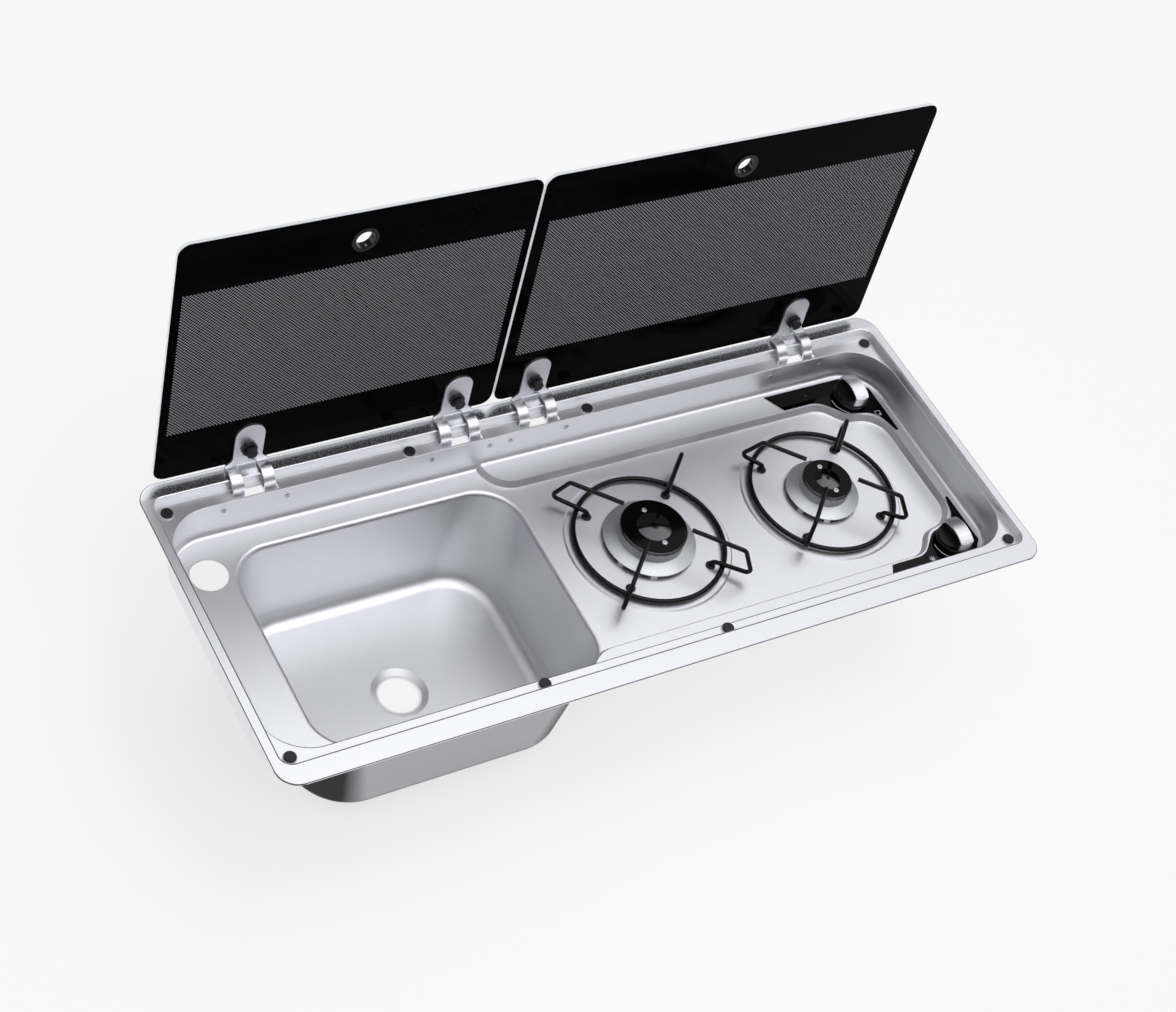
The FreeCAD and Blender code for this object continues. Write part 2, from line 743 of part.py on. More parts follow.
def make_sink_bowl():
    """Pressed sink bowl with its flange flush in the deck."""
    below_deck = prism(bowl_flange(), BOWL_BOTTOM_Z - DRAIN_DISH_DEPTH - PAST, DECK_Z)
    bowl = bowl_volume(SHEET).common(below_deck).cut(bowl_volume(0))
    drain_low = BOWL_BOTTOM_Z - DRAIN_DISH_DEPTH - PAST
    return bowl.cut(cylinder(DRAIN_X, DRAIN_Y, drain_low, BOWL_BOTTOM_Z + SHEET, DRAIN_R))


def make_rim_gasket():
    """Flat foam seal under the rim."""
    outer = grown(rim_outline(), -SEAL_INSET)
    x = RIM_HALF_LENGTH - SEAL_INSET - SEAL_END_WIDTH
    front = RIM_FRONT + SEAL_INSET + SEAL_SIDE_WIDTH
    back = RIM_BACK - SEAL_INSET - SEAL_SIDE_WIDTH
    inner = rectangle(-x, x, front, back, SEAL_INNER_CORNER)
    return prism(outer, 0, RIM_TOP - SHEET).cut(prism(inner, -PAST, RIM_TOP))


def make_bumpers():
    """Rubber plugs that the closed lids rest on."""
    plugs = []
    low = LEDGE_Z + COLLAR_THICK
    top = low + BUMPER_HEAD
    under = LEDGE_Z - SHEET
    for x, y in bumper_places():
        head = cylinder(x, y, low, top, BUMPER_R)
        head = head.makeFillet(BUMPER_EDGE, level_edges(head, top))
        stem = cylinder(x, y, under, low, BUMPER_STEM_R)
        point = V(x, y, under - BUMPER_BARB_DEPTH)
        barb = Part.makeCone(BUMPER_POINT_R, BUMPER_BARB_R, BUMPER_BARB_DEPTH, point, UP)
        plugs.append(fused([head, stem, barb]))
    return joined(plugs)


def make_bumper_collars():
    """Pale washers under the bumpers."""
    top = LEDGE_Z + COLLAR_THICK
    return joined([tube(x, y, LEDGE_Z, top, COLLAR_R, BUMPER_STEM_R) for x, y in bumper_places()])


def open_lid(shape):
    """Carry a shape drawn with the lid upright at the origin to the open pose."""
    moved = shape.copy()
    moved.rotate(V(0, 0, 0), ALONG, -LID_LEAN)
    moved.translate(V(0, LID_FOOT_Y, LID_FOOT_Z))
    return moved


def through_lid(x, up, near, far, r):
    """Round bar across the lid, from one depth to another, drawn upright at the origin."""
    return Part.makeCylinder(r, far - near, V(x, near, up), BACK)


def lid_span(hob):
    """Left and right ends of a lid."""
    if hob:
        return LID_SPLIT_X + LID_GAP / 2, LID_OUTER_X
    return -LID_OUTER_X, LID_SPLIT_X - LID_GAP / 2


def make_lid_glass(hob, hinges):
    """Glass pane with its finger hole and hinge screw holes."""
    left, right = lid_span(hob)
    pane = prism(rectangle(left, right, 0, LID_LENGTH, LID_CORNER), 0, LID_THICK)
    pane.rotate(V(0, 0, 0), ALONG, 90)
    pane.translate(BACK * LID_THICK)
    rims = [e for e in pane.Edges if e.BoundBox.YLength < 1e-6]
    pane = pane.makeChamfer(LID_EDGE, rims)
    pane = pane.cut(through_lid((left + right) / 2, FINGER_UP, -PAST, LID_THICK + PAST, FINGER_NECK_R))
    for x in hinges:
        pane = pane.cut(through_lid(x, SCREW_UP, -PAST, LID_THICK + PAST, SCREW_R))
    return open_lid(pane)


def make_finger_ring(hob):
    """Flanged ring that lines the finger hole, with slits along its neck."""
    left, right = lid_span(hob)
    x = (left + right) / 2
    near = -FINGER_FLANGE_THICK
    far = LID_THICK + FINGER_FLANGE_THICK
    front = through_lid(x, FINGER_UP, near, 0, FINGER_FLANGE_R)
    neck = through_lid(x, FINGER_UP, 0, LID_THICK, FINGER_NECK_R)
    rear = through_lid(x, FINGER_UP, LID_THICK, far, FINGER_FLANGE_R)
    ring = fused([front, neck, rear])
    ring = ring.cut(through_lid(x, FINGER_UP, near - PAST, far + PAST, FINGER_HOLE_R))
    for turn in FINGER_SLIT_TURNS:
        corner = V(-FINGER_NECK_R, 0, -FINGER_SLIT / 2)
        slit = Part.makeBox(2 * FINGER_NECK_R, LID_THICK, FINGER_SLIT, corner)
        slit.rotate(V(0, 0, 0), BACK, turn)
        slit.translate(V(x, 0, FINGER_UP))
        ring = ring.cut(slit)
    return open_lid(ring)


def polar(r, angle):
    """Point in the hinge's side view at a radius and angle from the pivot."""
    turn = math.radians(angle)
    return PIVOT_Y + r * math.cos(turn), PIVOT_Z + r * math.sin(turn)


def strap(x):
    """One curved strap with its web and barrel, its left side at x."""
    middle = (STRAP_TOP_ANGLE + STRAP_END_ANGLE) / 2
    a = V(x, *polar(STRAP_INNER_R, STRAP_TOP_ANGLE))
    b = V(x, *polar(STRAP_OUTER_R, STRAP_TOP_ANGLE))
    c = V(x, *polar(STRAP_OUTER_R, STRAP_END_ANGLE))
    d = V(x, *polar(STRAP_INNER_R, STRAP_END_ANGLE))
    outside = Part.Arc(b, V(x, *polar(STRAP_OUTER_R, middle)), c).toShape()
    inside = Part.Arc(d, V(x, *polar(STRAP_INNER_R, middle)), a).toShape()
    edge = Part.Wire([Part.makeLine(a, b), outside, Part.makeLine(c, d), inside])
    band = Part.Face(edge).extrude(ALONG * STRAP_WIDTH)
    web_near = (PIN_R + BARREL_R) / 2
    web_far = (STRAP_INNER_R + STRAP_OUTER_R) / 2
    web = Part.makeBox(STRAP_WIDTH, web_far - web_near, WEB_THICK, V(x, web_near, -WEB_THICK / 2))
    web.rotate(V(0, 0, 0), ALONG, WEB_ANGLE)
    web.translate(V(0, PIVOT_Y, PIVOT_Z))
    barrel = Part.makeCylinder(BARREL_R, STRAP_WIDTH, V(x, PIVOT_Y, PIVOT_Z), ALONG)
    return fused([band, web, barrel])


def lid_plate(x):
    """Flat plate on the inner face of the lid, flared at its foot to meet both straps."""
    half = PLATE_WIDTH / 2
    top_r = half - PAST
    points = [
        (x - HINGE_HALF, -PLATE_DOWN, 0),
        (x + HINGE_HALF, -PLATE_DOWN, 0),
        (x + HINGE_HALF, 0, PLATE_FOOT_R),
        (x + half, PLATE_FLARE_UP, PLATE_FLARE_R),
        (x + half, PLATE_UP, top_r),
        (x - half, PLATE_UP, top_r),
        (x - half, PLATE_FLARE_UP, PLATE_FLARE_R),
        (x - HINGE_HALF, 0, PLATE_FOOT_R),
    ]
    plate = prism(points, 0, PLATE_THICK)
    plate.rotate(V(0, 0, 0), ALONG, 90)
    corner = V(x - STRAP_GAP / 2, -PLATE_THICK - PAST, -PLATE_DOWN)
    gap = Part.makeBox(STRAP_GAP, PLATE_THICK + 2 * PAST, PLATE_DOWN, corner)
    plate = plate.cut(gap).cut(through_lid(x, SCREW_UP, -PLATE_THICK - PAST, PAST, SCREW_R))
    return open_lid(plate)


def make_hinge_arms(hinges):
    """Lid side of the hinges: plate, curved straps and barrels."""
    arms = []
    for x in hinges:
        left = strap(x - HINGE_HALF)
        right = strap(x + STRAP_GAP / 2)
        arm = fused([lid_plate(x), left, right])
        start = V(x - HINGE_HALF - PAST, PIVOT_Y, PIVOT_Z)
        arms.append(arm.cut(Part.makeCylinder(PIN_R + PIN_CLEAR, 2 * (HINGE_HALF + PAST), start, ALONG)))
    return joined(arms)


def make_lid_screws(hinges):
    """Thumb screws with a round collar and a faceted head that clamp the lid to the hinge plates."""
    screws = []
    collar_near = -PLATE_THICK - SCREW_COLLAR
    for x in hinges:
        collar = through_lid(x, SCREW_UP, collar_near, -PLATE_THICK, SCREW_COLLAR_R)
        rim = [e for e in collar.Edges if e.BoundBox.YMax < collar_near + PAST / 2]
        collar = collar.makeFillet(SCREW_COLLAR_EDGE, rim)
        corners = []
        for n in range(SCREW_HEAD_SIDES + 1):
            turn = 2 * math.pi * n / SCREW_HEAD_SIDES
            across = SCREW_HEAD_R * math.cos(turn)
            up = SCREW_HEAD_R * math.sin(turn)
            corners.append(V(x + across, collar_near, SCREW_UP + up))
        head = Part.Face(Part.makePolygon(corners)).extrude(BACK * -SCREW_HEAD)
        shank = through_lid(x, SCREW_UP, -PLATE_THICK, LID_THICK, SCREW_R)
        screws.append(open_lid(fused([collar, head, shank])))
    return joined(screws)


def make_lid_discs(hinges):
    """Round nut plates on the outer face of the lid."""
    far = LID_THICK + DISC_THICK
    return joined([open_lid(through_lid(x, SCREW_UP, LID_THICK, far, DISC_R)) for x in hinges])


def make_hinge_brackets():
    """Brackets behind the back wall that carry the hinge pins."""
    brackets = []
    inner = HINGE_HALF + CHEEK_SIDE
    cheek = [
        (BEHIND_WALL, BRACKET_LOW),
        (PIVOT_Y, PIVOT_Z - CHEEK_R),
        (PIVOT_Y, PIVOT_Z),
        (BEHIND_WALL + CHEEK_TOP_RUN, PIVOT_Z),
        (BEHIND_WALL, PIVOT_Z),
    ]
    for x in hinge_places():
        corner = V(x - BRACKET_HALF, BEHIND_WALL, BRACKET_LOW)
        pieces = [Part.makeBox(2 * BRACKET_HALF, BRACKET_THICK, BRACKET_HEIGHT, corner)]
        for left in (x - inner - CHEEK_THICK, x + inner):
            pieces.append(side_profile(cheek, left, CHEEK_THICK))
            pieces.append(Part.makeCylinder(CHEEK_R, CHEEK_THICK, V(left, PIVOT_Y, PIVOT_Z), ALONG))
        bracket = fused(pieces)
        start = V(x - BRACKET_HALF, PIVOT_Y, PIVOT_Z)
        bracket = bracket.cut(Part.makeCylinder(PIN_R, 2 * BRACKET_HALF, start, ALONG))
        for side in (-1, 1):
            start = V(x + side * RIVET_SPREAD, WELL_HALF_DEPTH, RIVET_Z)
            bracket = bracket.cut(Part.makeCylinder(RIVET_R, SHEET + BRACKET_THICK + PAST, start, BACK))
        brackets.append(bracket)
    return joined(brackets)


def make_hinge_pins():
    """Pins across the brackets."""
    half = HINGE_HALF + CHEEK_SIDE + CHEEK_THICK + PIN_END
    pins = []
    for x in hinge_places():
        pins.append(Part.makeCylinder(PIN_R, 2 * half, V(x - half, PIVOT_Y, PIVOT_Z), ALONG))
    return joined(pins)


def make_hinge_rivets():
    """Blind rivets through the back wall and the bracket flanges, dimpled where the stem broke off."""
    rivets = []
    front = WELL_HALF_DEPTH - RIVET_HEAD
    back = BEHIND_WALL + BRACKET_THICK
    for x in hinge_places():
        for side in (-1, 1):
            at = x + side * RIVET_SPREAD
            shank = Part.makeCylinder(RIVET_R, back - WELL_HALF_DEPTH, V(at, WELL_HALF_DEPTH, RIVET_Z), BACK)
            head = Part.makeCone(RIVET_FACE_R, RIVET_HEAD_R, RIVET_HEAD, V(at, front, RIVET_Z), BACK)
            tail = Part.makeCylinder(RIVET_HEAD_R, RIVET_HEAD, V(at, back, RIVET_Z), BACK)
            dimple = Part.makeCylinder(RIVET_DIMPLE_R, RIVET_DIMPLE, V(at, front, RIVET_Z), BACK)
            rivets.append(fused([shank, head, tail]).cut(dimple))
    return joined(rivets)


def cap_holes(burner, low, high):
    """Bars that clear the two cap screws of a burner."""
    y = burner["screw"]
    return joined([cylinder(burner["x"], side * y, low, high, CAP_SCREW_R) for side in (-1, 1)])


def make_burner_cap(burner):
    """Enamelled lid of a burner with a domed middle."""
    x = burner["x"]
    cap = cylinder(x, 0, CAP_LOW, CAP_TOP, burner["cap"])
    cap = cap.makeFillet(CAP_EDGE, level_edges(cap, CAP_TOP))
    reach = DOME_SHARE * burner["cap"]
    ball = (reach**2 + DOME_RISE**2) / (2 * DOME_RISE)
    dome = Part.makeSphere(ball, V(x, 0, CAP_TOP + DOME_RISE - ball))
    dome = dome.common(cylinder(x, 0, CAP_TOP - CAP_THICK / 2, CAP_TOP + DOME_RISE, reach))
    return fused([cap, dome]).cut(cap_holes(burner, CAP_LOW - PAST, CAP_TOP + PAST))


def make_cap_screws(burner):
    """Two screws that hold the cap to the head."""
    x = burner["x"]
    top = CAP_TOP + CAP_SCREW_HEAD
    screws = []
    for side in (-1, 1):
        y = side * burner["screw"]
        shank = cylinder(x, y, CAP_LOW - CAP_SCREW_BITE, CAP_TOP, CAP_SCREW_R)
        head = cylinder(x, y, CAP_TOP, top, CAP_SCREW_HEAD_R)
        head = head.makeFillet(CAP_SCREW_EDGE, level_edges(head, top))
        socket = cylinder(x, y, top - CAP_SCREW_SOCKET, top + PAST, CAP_SCREW_SOCKET_R)
        screws.append(fused([shank, head]).cut(socket))
    return joined(screws)


def make_burner_head(burner):
    """Cast head with flame ports under its cap."""
    x = burner["x"]
    outer = burner["cap"] - HEAD_INSET
    head = tube(x, 0, HEAD_LOW, CAP_LOW, outer, burner["cap"] - HEAD_BORE_INSET)
    ports = []
    for n in range(PORT_COUNT):
        corner = V(outer - PORT_DEPTH, -PORT_WIDTH / 2, CAP_LOW - PORT_HEIGHT)
        port = Part.makeBox(PORT_DEPTH + PAST, PORT_WIDTH, PORT_HEIGHT, corner)
        port.rotate(V(0, 0, 0), UP, 360 * (n + 0.5) / PORT_COUNT)
        port.translate(ALONG * x)
        ports.append(port)
    head = head.cut(joined(ports))
    return head.cut(cap_holes(burner, CAP_LOW - CAP_SCREW_BITE, CAP_LOW + PAST))


def probe_place(burner, at_back):
    """Centre of the flame probe, or of the spark electrode."""
    out = burner["cap"] + PROBE_OUT
    return (burner["x"], out) if at_back else (burner["x"] + out, 0)


def make_burner_ring(burner):
    """Pressed skirt round the head, standing on short feet."""
    x = burner["x"]
    inner = burner["cap"] - HEAD_INSET
    outer = burner["ring"]
    under_inner = RING_INNER_Z - RING_THICK
    under_outer = RING_OUTER_Z - RING_THICK
    profile = [(inner, RING_INNER_Z), (outer, RING_OUTER_Z), (outer, under_outer), (inner, under_inner)]
    pieces = [turned(profile, x, 0)]
    for n in range(RING_FEET):
        corner = V(outer - RING_FOOT_THICK - RING_FOOT_INSET, -RING_FOOT_WIDTH / 2, PAD_Z)
        foot = Part.makeBox(RING_FOOT_THICK, RING_FOOT_WIDTH, RING_OUTER_Z - PAD_Z, corner)
        foot.rotate(V(0, 0, 0), UP, 360 * (n + 0.5) / RING_FEET)
        foot.translate(ALONG * x)
        pieces.append(foot)
    ring = fused(pieces)
    ring = ring.cut(cylinder(*probe_place(burner, True), PAD_Z, CAP_TOP, PROBE_R))
    return ring.cut(cylinder(*probe_place(burner, False), PAD_Z, CAP_TOP, SPARK_R))


def make_burner_cup(burner):
    """Holder under the deck with the neck that carries the head."""
    x = burner["x"]
    wall_r = burner["ring"] - CUP_INSET
    neck_r = burner["cap"] - NECK_INSET
    flange = tube(x, 0, UNDER_PAD - CUP_WALL, UNDER_PAD, wall_r + CUP_FLANGE, wall_r - CUP_WALL)
    wall = tube(x, 0, CUP_LOW, UNDER_PAD, wall_r, wall_r - CUP_WALL)
    floor = cylinder(x, 0, CUP_LOW, CUP_LOW + CUP_WALL, wall_r)
    neck = tube(x, 0, CUP_LOW, HEAD_LOW, neck_r, neck_r - NECK_WALL)
    cup = fused([flange, wall, floor, neck])
    cup = cup.cut(cylinder(*probe_place(burner, True), CUP_LOW - PAST, CUP_LOW + CUP_WALL + PAST, PROBE_R))
    return cup.cut(cylinder(*probe_place(burner, False), CUP_LOW - PAST, CUP_LOW + CUP_WALL + PAST, SPARK_R))


def make_flame_probe(burner):
    """Thermocouple beside the head."""
    x, y = probe_place(burner, True)
    top = CAP_TOP - PROBE_BELOW_CAP
    rod = cylinder(x, y, PROBE_LOW, top, PROBE_R)
    return rod.makeFillet(PROBE_TIP, level_edges(rod, top))


def make_spark_rod(burner):
    """Spark electrode beside the head."""
    x, y = probe_place(burner, False)
    return cylinder(x, y, PROBE_LOW, CAP_TOP - SPARK_BELOW_CAP, SPARK_R)


def make_injector(burner):
    """Gas injector under the cup with a nut for its pipe."""
    x = burner["x"]
    body = cylinder(x, 0, CUP_LOW - INJECTOR_LENGTH, CUP_LOW, INJECTOR_R)
    sides = rectangle(x - NUT_HALF, x + NUT_HALF, -NUT_HALF, NUT_HALF, NUT_CORNER)
    nut = prism(sides, PIPE_Z - NUT_BELOW_PIPE, PIPE_Z + NUT_ABOVE_PIPE)
    return fused([body, nut])


def make_pan_support(burner):
    """Wire ring with four bent arms welded to it."""
    share = (SUPPORT_RING_R - FOOT_OUT) / (burner["out"] - FOOT_OUT)
    leg_z = LEG_Z + share * (LEG_OUT_Z - LEG_Z)
    ring_z = leg_z - ARM_R - RING_ROD_R + WELD_BITE
    pieces = [Part.makeTorus(SUPPORT_RING_R, RING_ROD_R, V(0, 0, ring_z), UP)]
    run = [
        (FOOT_OUT, FOOT_LOW),
        (FOOT_OUT, LEG_Z),
        (burner["out"], LEG_OUT_Z),
        (burner["knee"], TOP_BAR_Z),
        (burner["tip"], TOP_BAR_Z),
    ]
    for quarter in range(4):
        turn = math.radians(45 + 90 * quarter)
        path = [V(r * math.cos(turn), r * math.sin(turn), z) for r, z in run]
        pieces.append(bent_rod(path, ARM_BEND, ARM_R))
    support = fused(pieces)
    support.translate(ALONG * burner["x"])
    return support


def make_foot_grommets():
    """Bushes in the deck that hold the pan support feet."""
    bushes = []
    tail_low = UNDER_PAD - GROMMET_TAIL
    for burner in BURNERS:
        for x, y in foot_places(burner):
            head = cylinder(x, y, PAD_Z, GROMMET_TOP, GROMMET_R)
            head = head.makeFillet(GROMMET_EDGE, level_edges(head, GROMMET_TOP))
            neck = cylinder(x, y, UNDER_PAD, PAD_Z, GROMMET_NECK_R)
            tail = cylinder(x, y, tail_low, UNDER_PAD, GROMMET_TAIL_R)
            hole = cylinder(x, y, tail_low - PAST, GROMMET_TOP + PAST, ARM_R + FOOT_CLEAR)
            bushes.append(fused([head, neck, tail]).cut(hole))
    return joined(bushes)


def panel_outline():
    """Outline of the rear control panel, seen from above."""
    left = KNOB_X - PANEL_LENGTH
    right = WELL_HALF_LENGTH - PANEL_END_GAP
    outer = WELL_HALF_DEPTH - PANEL_SIDE_GAP
    inner = SHELF_INNER + PANEL_EDGE
    tip = KNOB_Y - PANEL_TIP_RUN
    return [
        (left + PANEL_SLANT, inner, 0),
        (BULGE_START_X - PANEL_EDGE, inner, BULGE_START_R),
        (BULGE_NOSE_X + PANEL_EDGE, BULGE_NOSE_Y + PANEL_NOSE_LIFT, PANEL_NOSE_R),
        (SHELF_RIGHT - PANEL_WAIST, BULGE_END_Y + PANEL_EDGE, PANEL_WAIST_R),
        (right - PANEL_TIP_WIDTH, tip, 0),
        (right, tip, 0),
        (right, outer - PANEL_CORNER_Y, 0),
        (right - PANEL_CORNER_X, outer, PANEL_CORNER_R),
        (left, outer, 0),
    ]


def make_control_panel(rear):
    """Black plate on the shelf under a knob."""
    panel = prism(panel_outline(), SHELF_Z, PANEL_TOP)
    panel = panel.cut(cylinder(KNOB_X, KNOB_Y, SHELF_Z - PAST, PANEL_TOP + PAST, SPINDLE_HOLE_R))
    return panel if rear else panel.mirror(V(0, 0, 0), BACK)


def knob_side(rear):
    """Y of the rear or front knob."""
    return KNOB_Y if rear else -KNOB_Y


def grip_block(y, half, r, drop):
    """Arched bar across a knob, lowered by a wall thickness."""
    slab = Part.makeBox(2 * half, 2 * r, KNOB_HEIGHT + PAST, V(KNOB_X - half, y - r, KNOB_LOW))
    drum = cylinder(KNOB_X, y, KNOB_LOW, KNOB_TOP + PAST, r)
    start = V(KNOB_X - 2 * half, y, KNOB_TOP - GRIP_ARCH_R)
    arch = Part.makeCylinder(GRIP_ARCH_R - drop, 4 * half, start, ALONG)
    return slab.common(drum).common(arch)


def make_knob_body(rear):
    """Black knob with a raised grip between two scooped sides."""
    y = knob_side(rear)
    skirt_top = KNOB_LOW + KNOB_SKIRT
    skirt = cylinder(KNOB_X, y, KNOB_LOW, skirt_top, KNOB_R)
    skirt = skirt.makeFillet(KNOB_SKIRT_EDGE, level_edges(skirt, skirt_top))
    drum = cylinder(KNOB_X, y, skirt_top, KNOB_TOP - KNOB_DRUM_BELOW, KNOB_DRUM_R)
    for side in (-1, 1):
        away = KNOB_X + side * (GRIP_HALF + SCOOP_R)
        start = V(away, y - 2 * KNOB_R, KNOB_LOW + KNOB_SHOULDER + SCOOP_R)
        drum = drum.cut(Part.makeCylinder(SCOOP_R, 4 * KNOB_R, start, BACK))
    grip = grip_block(y, GRIP_HALF, KNOB_DRUM_R - STRIP_THICK, STRIP_THICK)
    knob = fused([skirt, drum, grip]).cut(make_knob_strip(rear))
    return knob.cut(cylinder(KNOB_X, y, KNOB_LOW - PAST, SPINDLE_TOP, SPINDLE_R))


def make_knob_strip(rear):
    """Arched metal strip over the grip of a knob."""
    y = knob_side(rear)
    outer = grip_block(y, GRIP_HALF, KNOB_DRUM_R + STRIP_PROUD, 0)
    inner = grip_block(y, GRIP_HALF + PAST, KNOB_DRUM_R - STRIP_THICK, STRIP_THICK)
    corner = V(KNOB_X - 2 * KNOB_R, y - 2 * KNOB_R, KNOB_LOW)
    low = Part.makeBox(4 * KNOB_R, 4 * KNOB_R, STRIP_RISE, corner)
    return outer.cut(inner).cut(low)


def make_spindle(rear):
    """Valve spindle under a knob, with a thinner journal at its foot."""
    y = knob_side(rear)
    low = PLUNGER_TOP + FACE_CLEAR
    shaft = cylinder(KNOB_X, y, low, SPINDLE_TOP, SPINDLE_R)
    journal = cylinder(KNOB_X, y, low - JOURNAL_LENGTH, low, JOURNAL_R)
    return fused([shaft, journal])


def make_plunger(rear):
    """Sliding plunger in the valve that the spindle stands in."""
    y = knob_side(rear)
    body = cylinder(KNOB_X, y, PLUNGER_TOP - PLUNGER_LENGTH, PLUNGER_TOP, PLUNGER_R)
    socket_low = PLUNGER_TOP - JOURNAL_LENGTH - JOURNAL_ROOM
    return body.cut(cylinder(KNOB_X, y, socket_low, PLUNGER_TOP + PAST, JOURNAL_R + RUN_CLEAR))


def make_gas_valve(rear):
    """Gas valve body under the shelf."""
    y = knob_side(rear)
    top = SHELF_Z - SHEET
    half = VALVE_HALF
    sides = rectangle(KNOB_X - half, KNOB_X + half, y - half, y + half, VALVE_CORNER)
    block = prism(sides, PIPE_Z - VALVE_BELOW_PIPE, top)
    bore_low = PLUNGER_TOP - PLUNGER_LENGTH - PLUNGER_ROOM
    return block.cut(cylinder(KNOB_X, y, bore_low, top + PAST, PLUNGER_R + RUN_CLEAR))


def make_feed_pipe(burner, rear):
    """Pipe from a valve to an injector."""
    y = knob_side(rear)
    nut_y = NUT_HALF if rear else -NUT_HALF
    start = V(KNOB_X - VALVE_HALF, y, PIPE_Z)
    return bent_rod([start, V(burner["x"], y, PIPE_Z), V(burner["x"], nut_y, PIPE_Z)], PIPE_BEND, FEED_R)


def make_gas_manifold():
    """Pipe between the valves with the gas inlet on a boss below it."""
    start = KNOB_X + VALVE_HALF
    path = [
        V(start, -KNOB_Y, PIPE_Z),
        V(MANIFOLD_X, -KNOB_Y, PIPE_Z),
        V(MANIFOLD_X, KNOB_Y, PIPE_Z),
        V(start, KNOB_Y, PIPE_Z),
    ]
    pipe = bent_rod(path, MANIFOLD_BEND, MANIFOLD_R)
    inlet_low = PIPE_Z - INLET_DROP
    inlet = cylinder(MANIFOLD_X, 0, inlet_low, PIPE_Z, INLET_R)
    boss = cylinder(MANIFOLD_X, 0, PIPE_Z - INLET_BOSS_DROP, PIPE_Z, INLET_BOSS_R)
    bore = cylinder(MANIFOLD_X, 0, inlet_low - PAST, inlet_low + INLET_BORE_DEPTH, INLET_BORE_R)
    return fused([pipe, boss, inlet]).cut(bore)


def write(node, shape):
    """Save one node."""
    shape.exportStep("parts/" + node + ".step")


wall_sheet, shelf_sheet, deck_sheet = split_sheet()
write("tray", wall_sheet)
write("tray_shelf", shelf_sheet)
write("tray_deck", deck_sheet)
write("sink_bowl", make_sink_bowl())
write("rim_gasket", make_rim_gasket())
write("lid_bumpers", make_bumpers())
write("bumper_collars", make_bumper_collars())
write("hinge_brackets", make_hinge_brackets())
write("hinge_pins", make_hinge_pins())
write("hinge_rivets", make_hinge_rivets())
write("foot_grommets", make_foot_grommets())
write("gas_manifold", make_gas_manifold())

for lid_name, over_hob, hinge_places in (("sink_lid", False, SINK_HINGES), ("hob_lid", True, HOB_HINGES)):
    write(lid_name + "_glass", make_lid_glass(over_hob, hinge_places))
    write(lid_name + "_finger_ring", make_finger_ring(over_hob))
    write(lid_name + "_hinge_arms", make_hinge_arms(hinge_places))
    write(lid_name + "_screws", make_lid_screws(hinge_places))
    write(lid_name + "_discs", make_lid_discs(hinge_places))

for one_burner in BURNERS:
    label = one_burner["name"] + "_burner_"
    write(label + "cap", make_burner_cap(one_burner))
    write(label + "cap_screws", make_cap_screws(one_burner))
    write(label + "head", make_burner_head(one_burner))
    write(label + "ring", make_burner_ring(one_burner))
    write(label + "cup", make_burner_cup(one_burner))
    write(label + "flame_probe", make_flame_probe(one_burner))
    write(label + "spark_rod", make_spark_rod(one_burner))
    write(label + "injector", make_injector(one_burner))
    write(one_burner["name"] + "_pan_support", make_pan_support(one_burner))

for place, is_rear, fed in (("rear", True, BURNERS[1]), ("front", False, BURNERS[0])):
    write(place + "_control_panel", make_control_panel(is_rear))
    write(place + "_knob", make_knob_body(is_rear))
    write(place + "_knob_strip", make_knob_strip(is_rear))
    write(place + "_spindle", make_spindle(is_rear))
    write(place + "_plunger", make_plunger(is_rear))
    write(place + "_gas_valve", make_gas_valve(is_rear))
    write(place + "_feed_pipe", make_feed_pipe(fed, is_rear))
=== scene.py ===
"""Looks of a built-in hob and sink unit with two hinged glass lids."""
import logging
import math
from collections.abc import Callable
from dataclasses import dataclass, field
from enum import Enum
from typing import Any

import bpy
from mathutils import Matrix, Vector


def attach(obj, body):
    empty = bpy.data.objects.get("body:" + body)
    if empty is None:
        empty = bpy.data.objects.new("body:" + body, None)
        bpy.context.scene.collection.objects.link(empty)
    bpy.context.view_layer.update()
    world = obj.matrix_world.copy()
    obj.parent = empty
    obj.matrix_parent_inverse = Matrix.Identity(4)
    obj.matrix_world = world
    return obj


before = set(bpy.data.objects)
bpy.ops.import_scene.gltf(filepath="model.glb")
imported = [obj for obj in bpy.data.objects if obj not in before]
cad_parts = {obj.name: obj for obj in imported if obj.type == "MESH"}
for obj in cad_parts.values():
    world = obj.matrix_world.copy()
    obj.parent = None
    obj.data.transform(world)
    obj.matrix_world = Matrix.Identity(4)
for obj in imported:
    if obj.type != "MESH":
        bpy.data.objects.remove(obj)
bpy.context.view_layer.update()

LOG = logging.getLogger("hob_and_sink")
# Metres in a millimetre.
MM = 0.001
# Width of the photograph in pixels and of the camera's sensor in millimetres.
PHOTO_WIDTH = 1176
SENSOR = 36.0
WHITE = "#FFFFFF"
# Places of a mix node's two colours and of its mixed colour.
MIX_A, MIX_B, MIX_OUT = 6, 7, 2
# Noise heights that count as the grain's low and high spots, and its octaves.
GRAIN_LOW, GRAIN_HIGH = 0.3, 0.7
GRAIN_DETAIL = 3.0
# Corners of the circles that the flame arcs and the small round marks are cut from.
ARC_STEPS = 180
ROUND_STEPS = 32
Tree = bpy.types.NodeTree
Socket = bpy.types.NodeSocket
Inputs = dict[str | int, Any]


class Burners(Enum):
    """The two gas burners."""

    LEFT = "left"
    RIGHT = "right"


class Corners(Enum):
    """The two control corners."""

    REAR = "rear"
    FRONT = "front"


class Lids(Enum):
    """The two glass lids."""

    SINK = "sink_lid"
    HOB = "hob_lid"


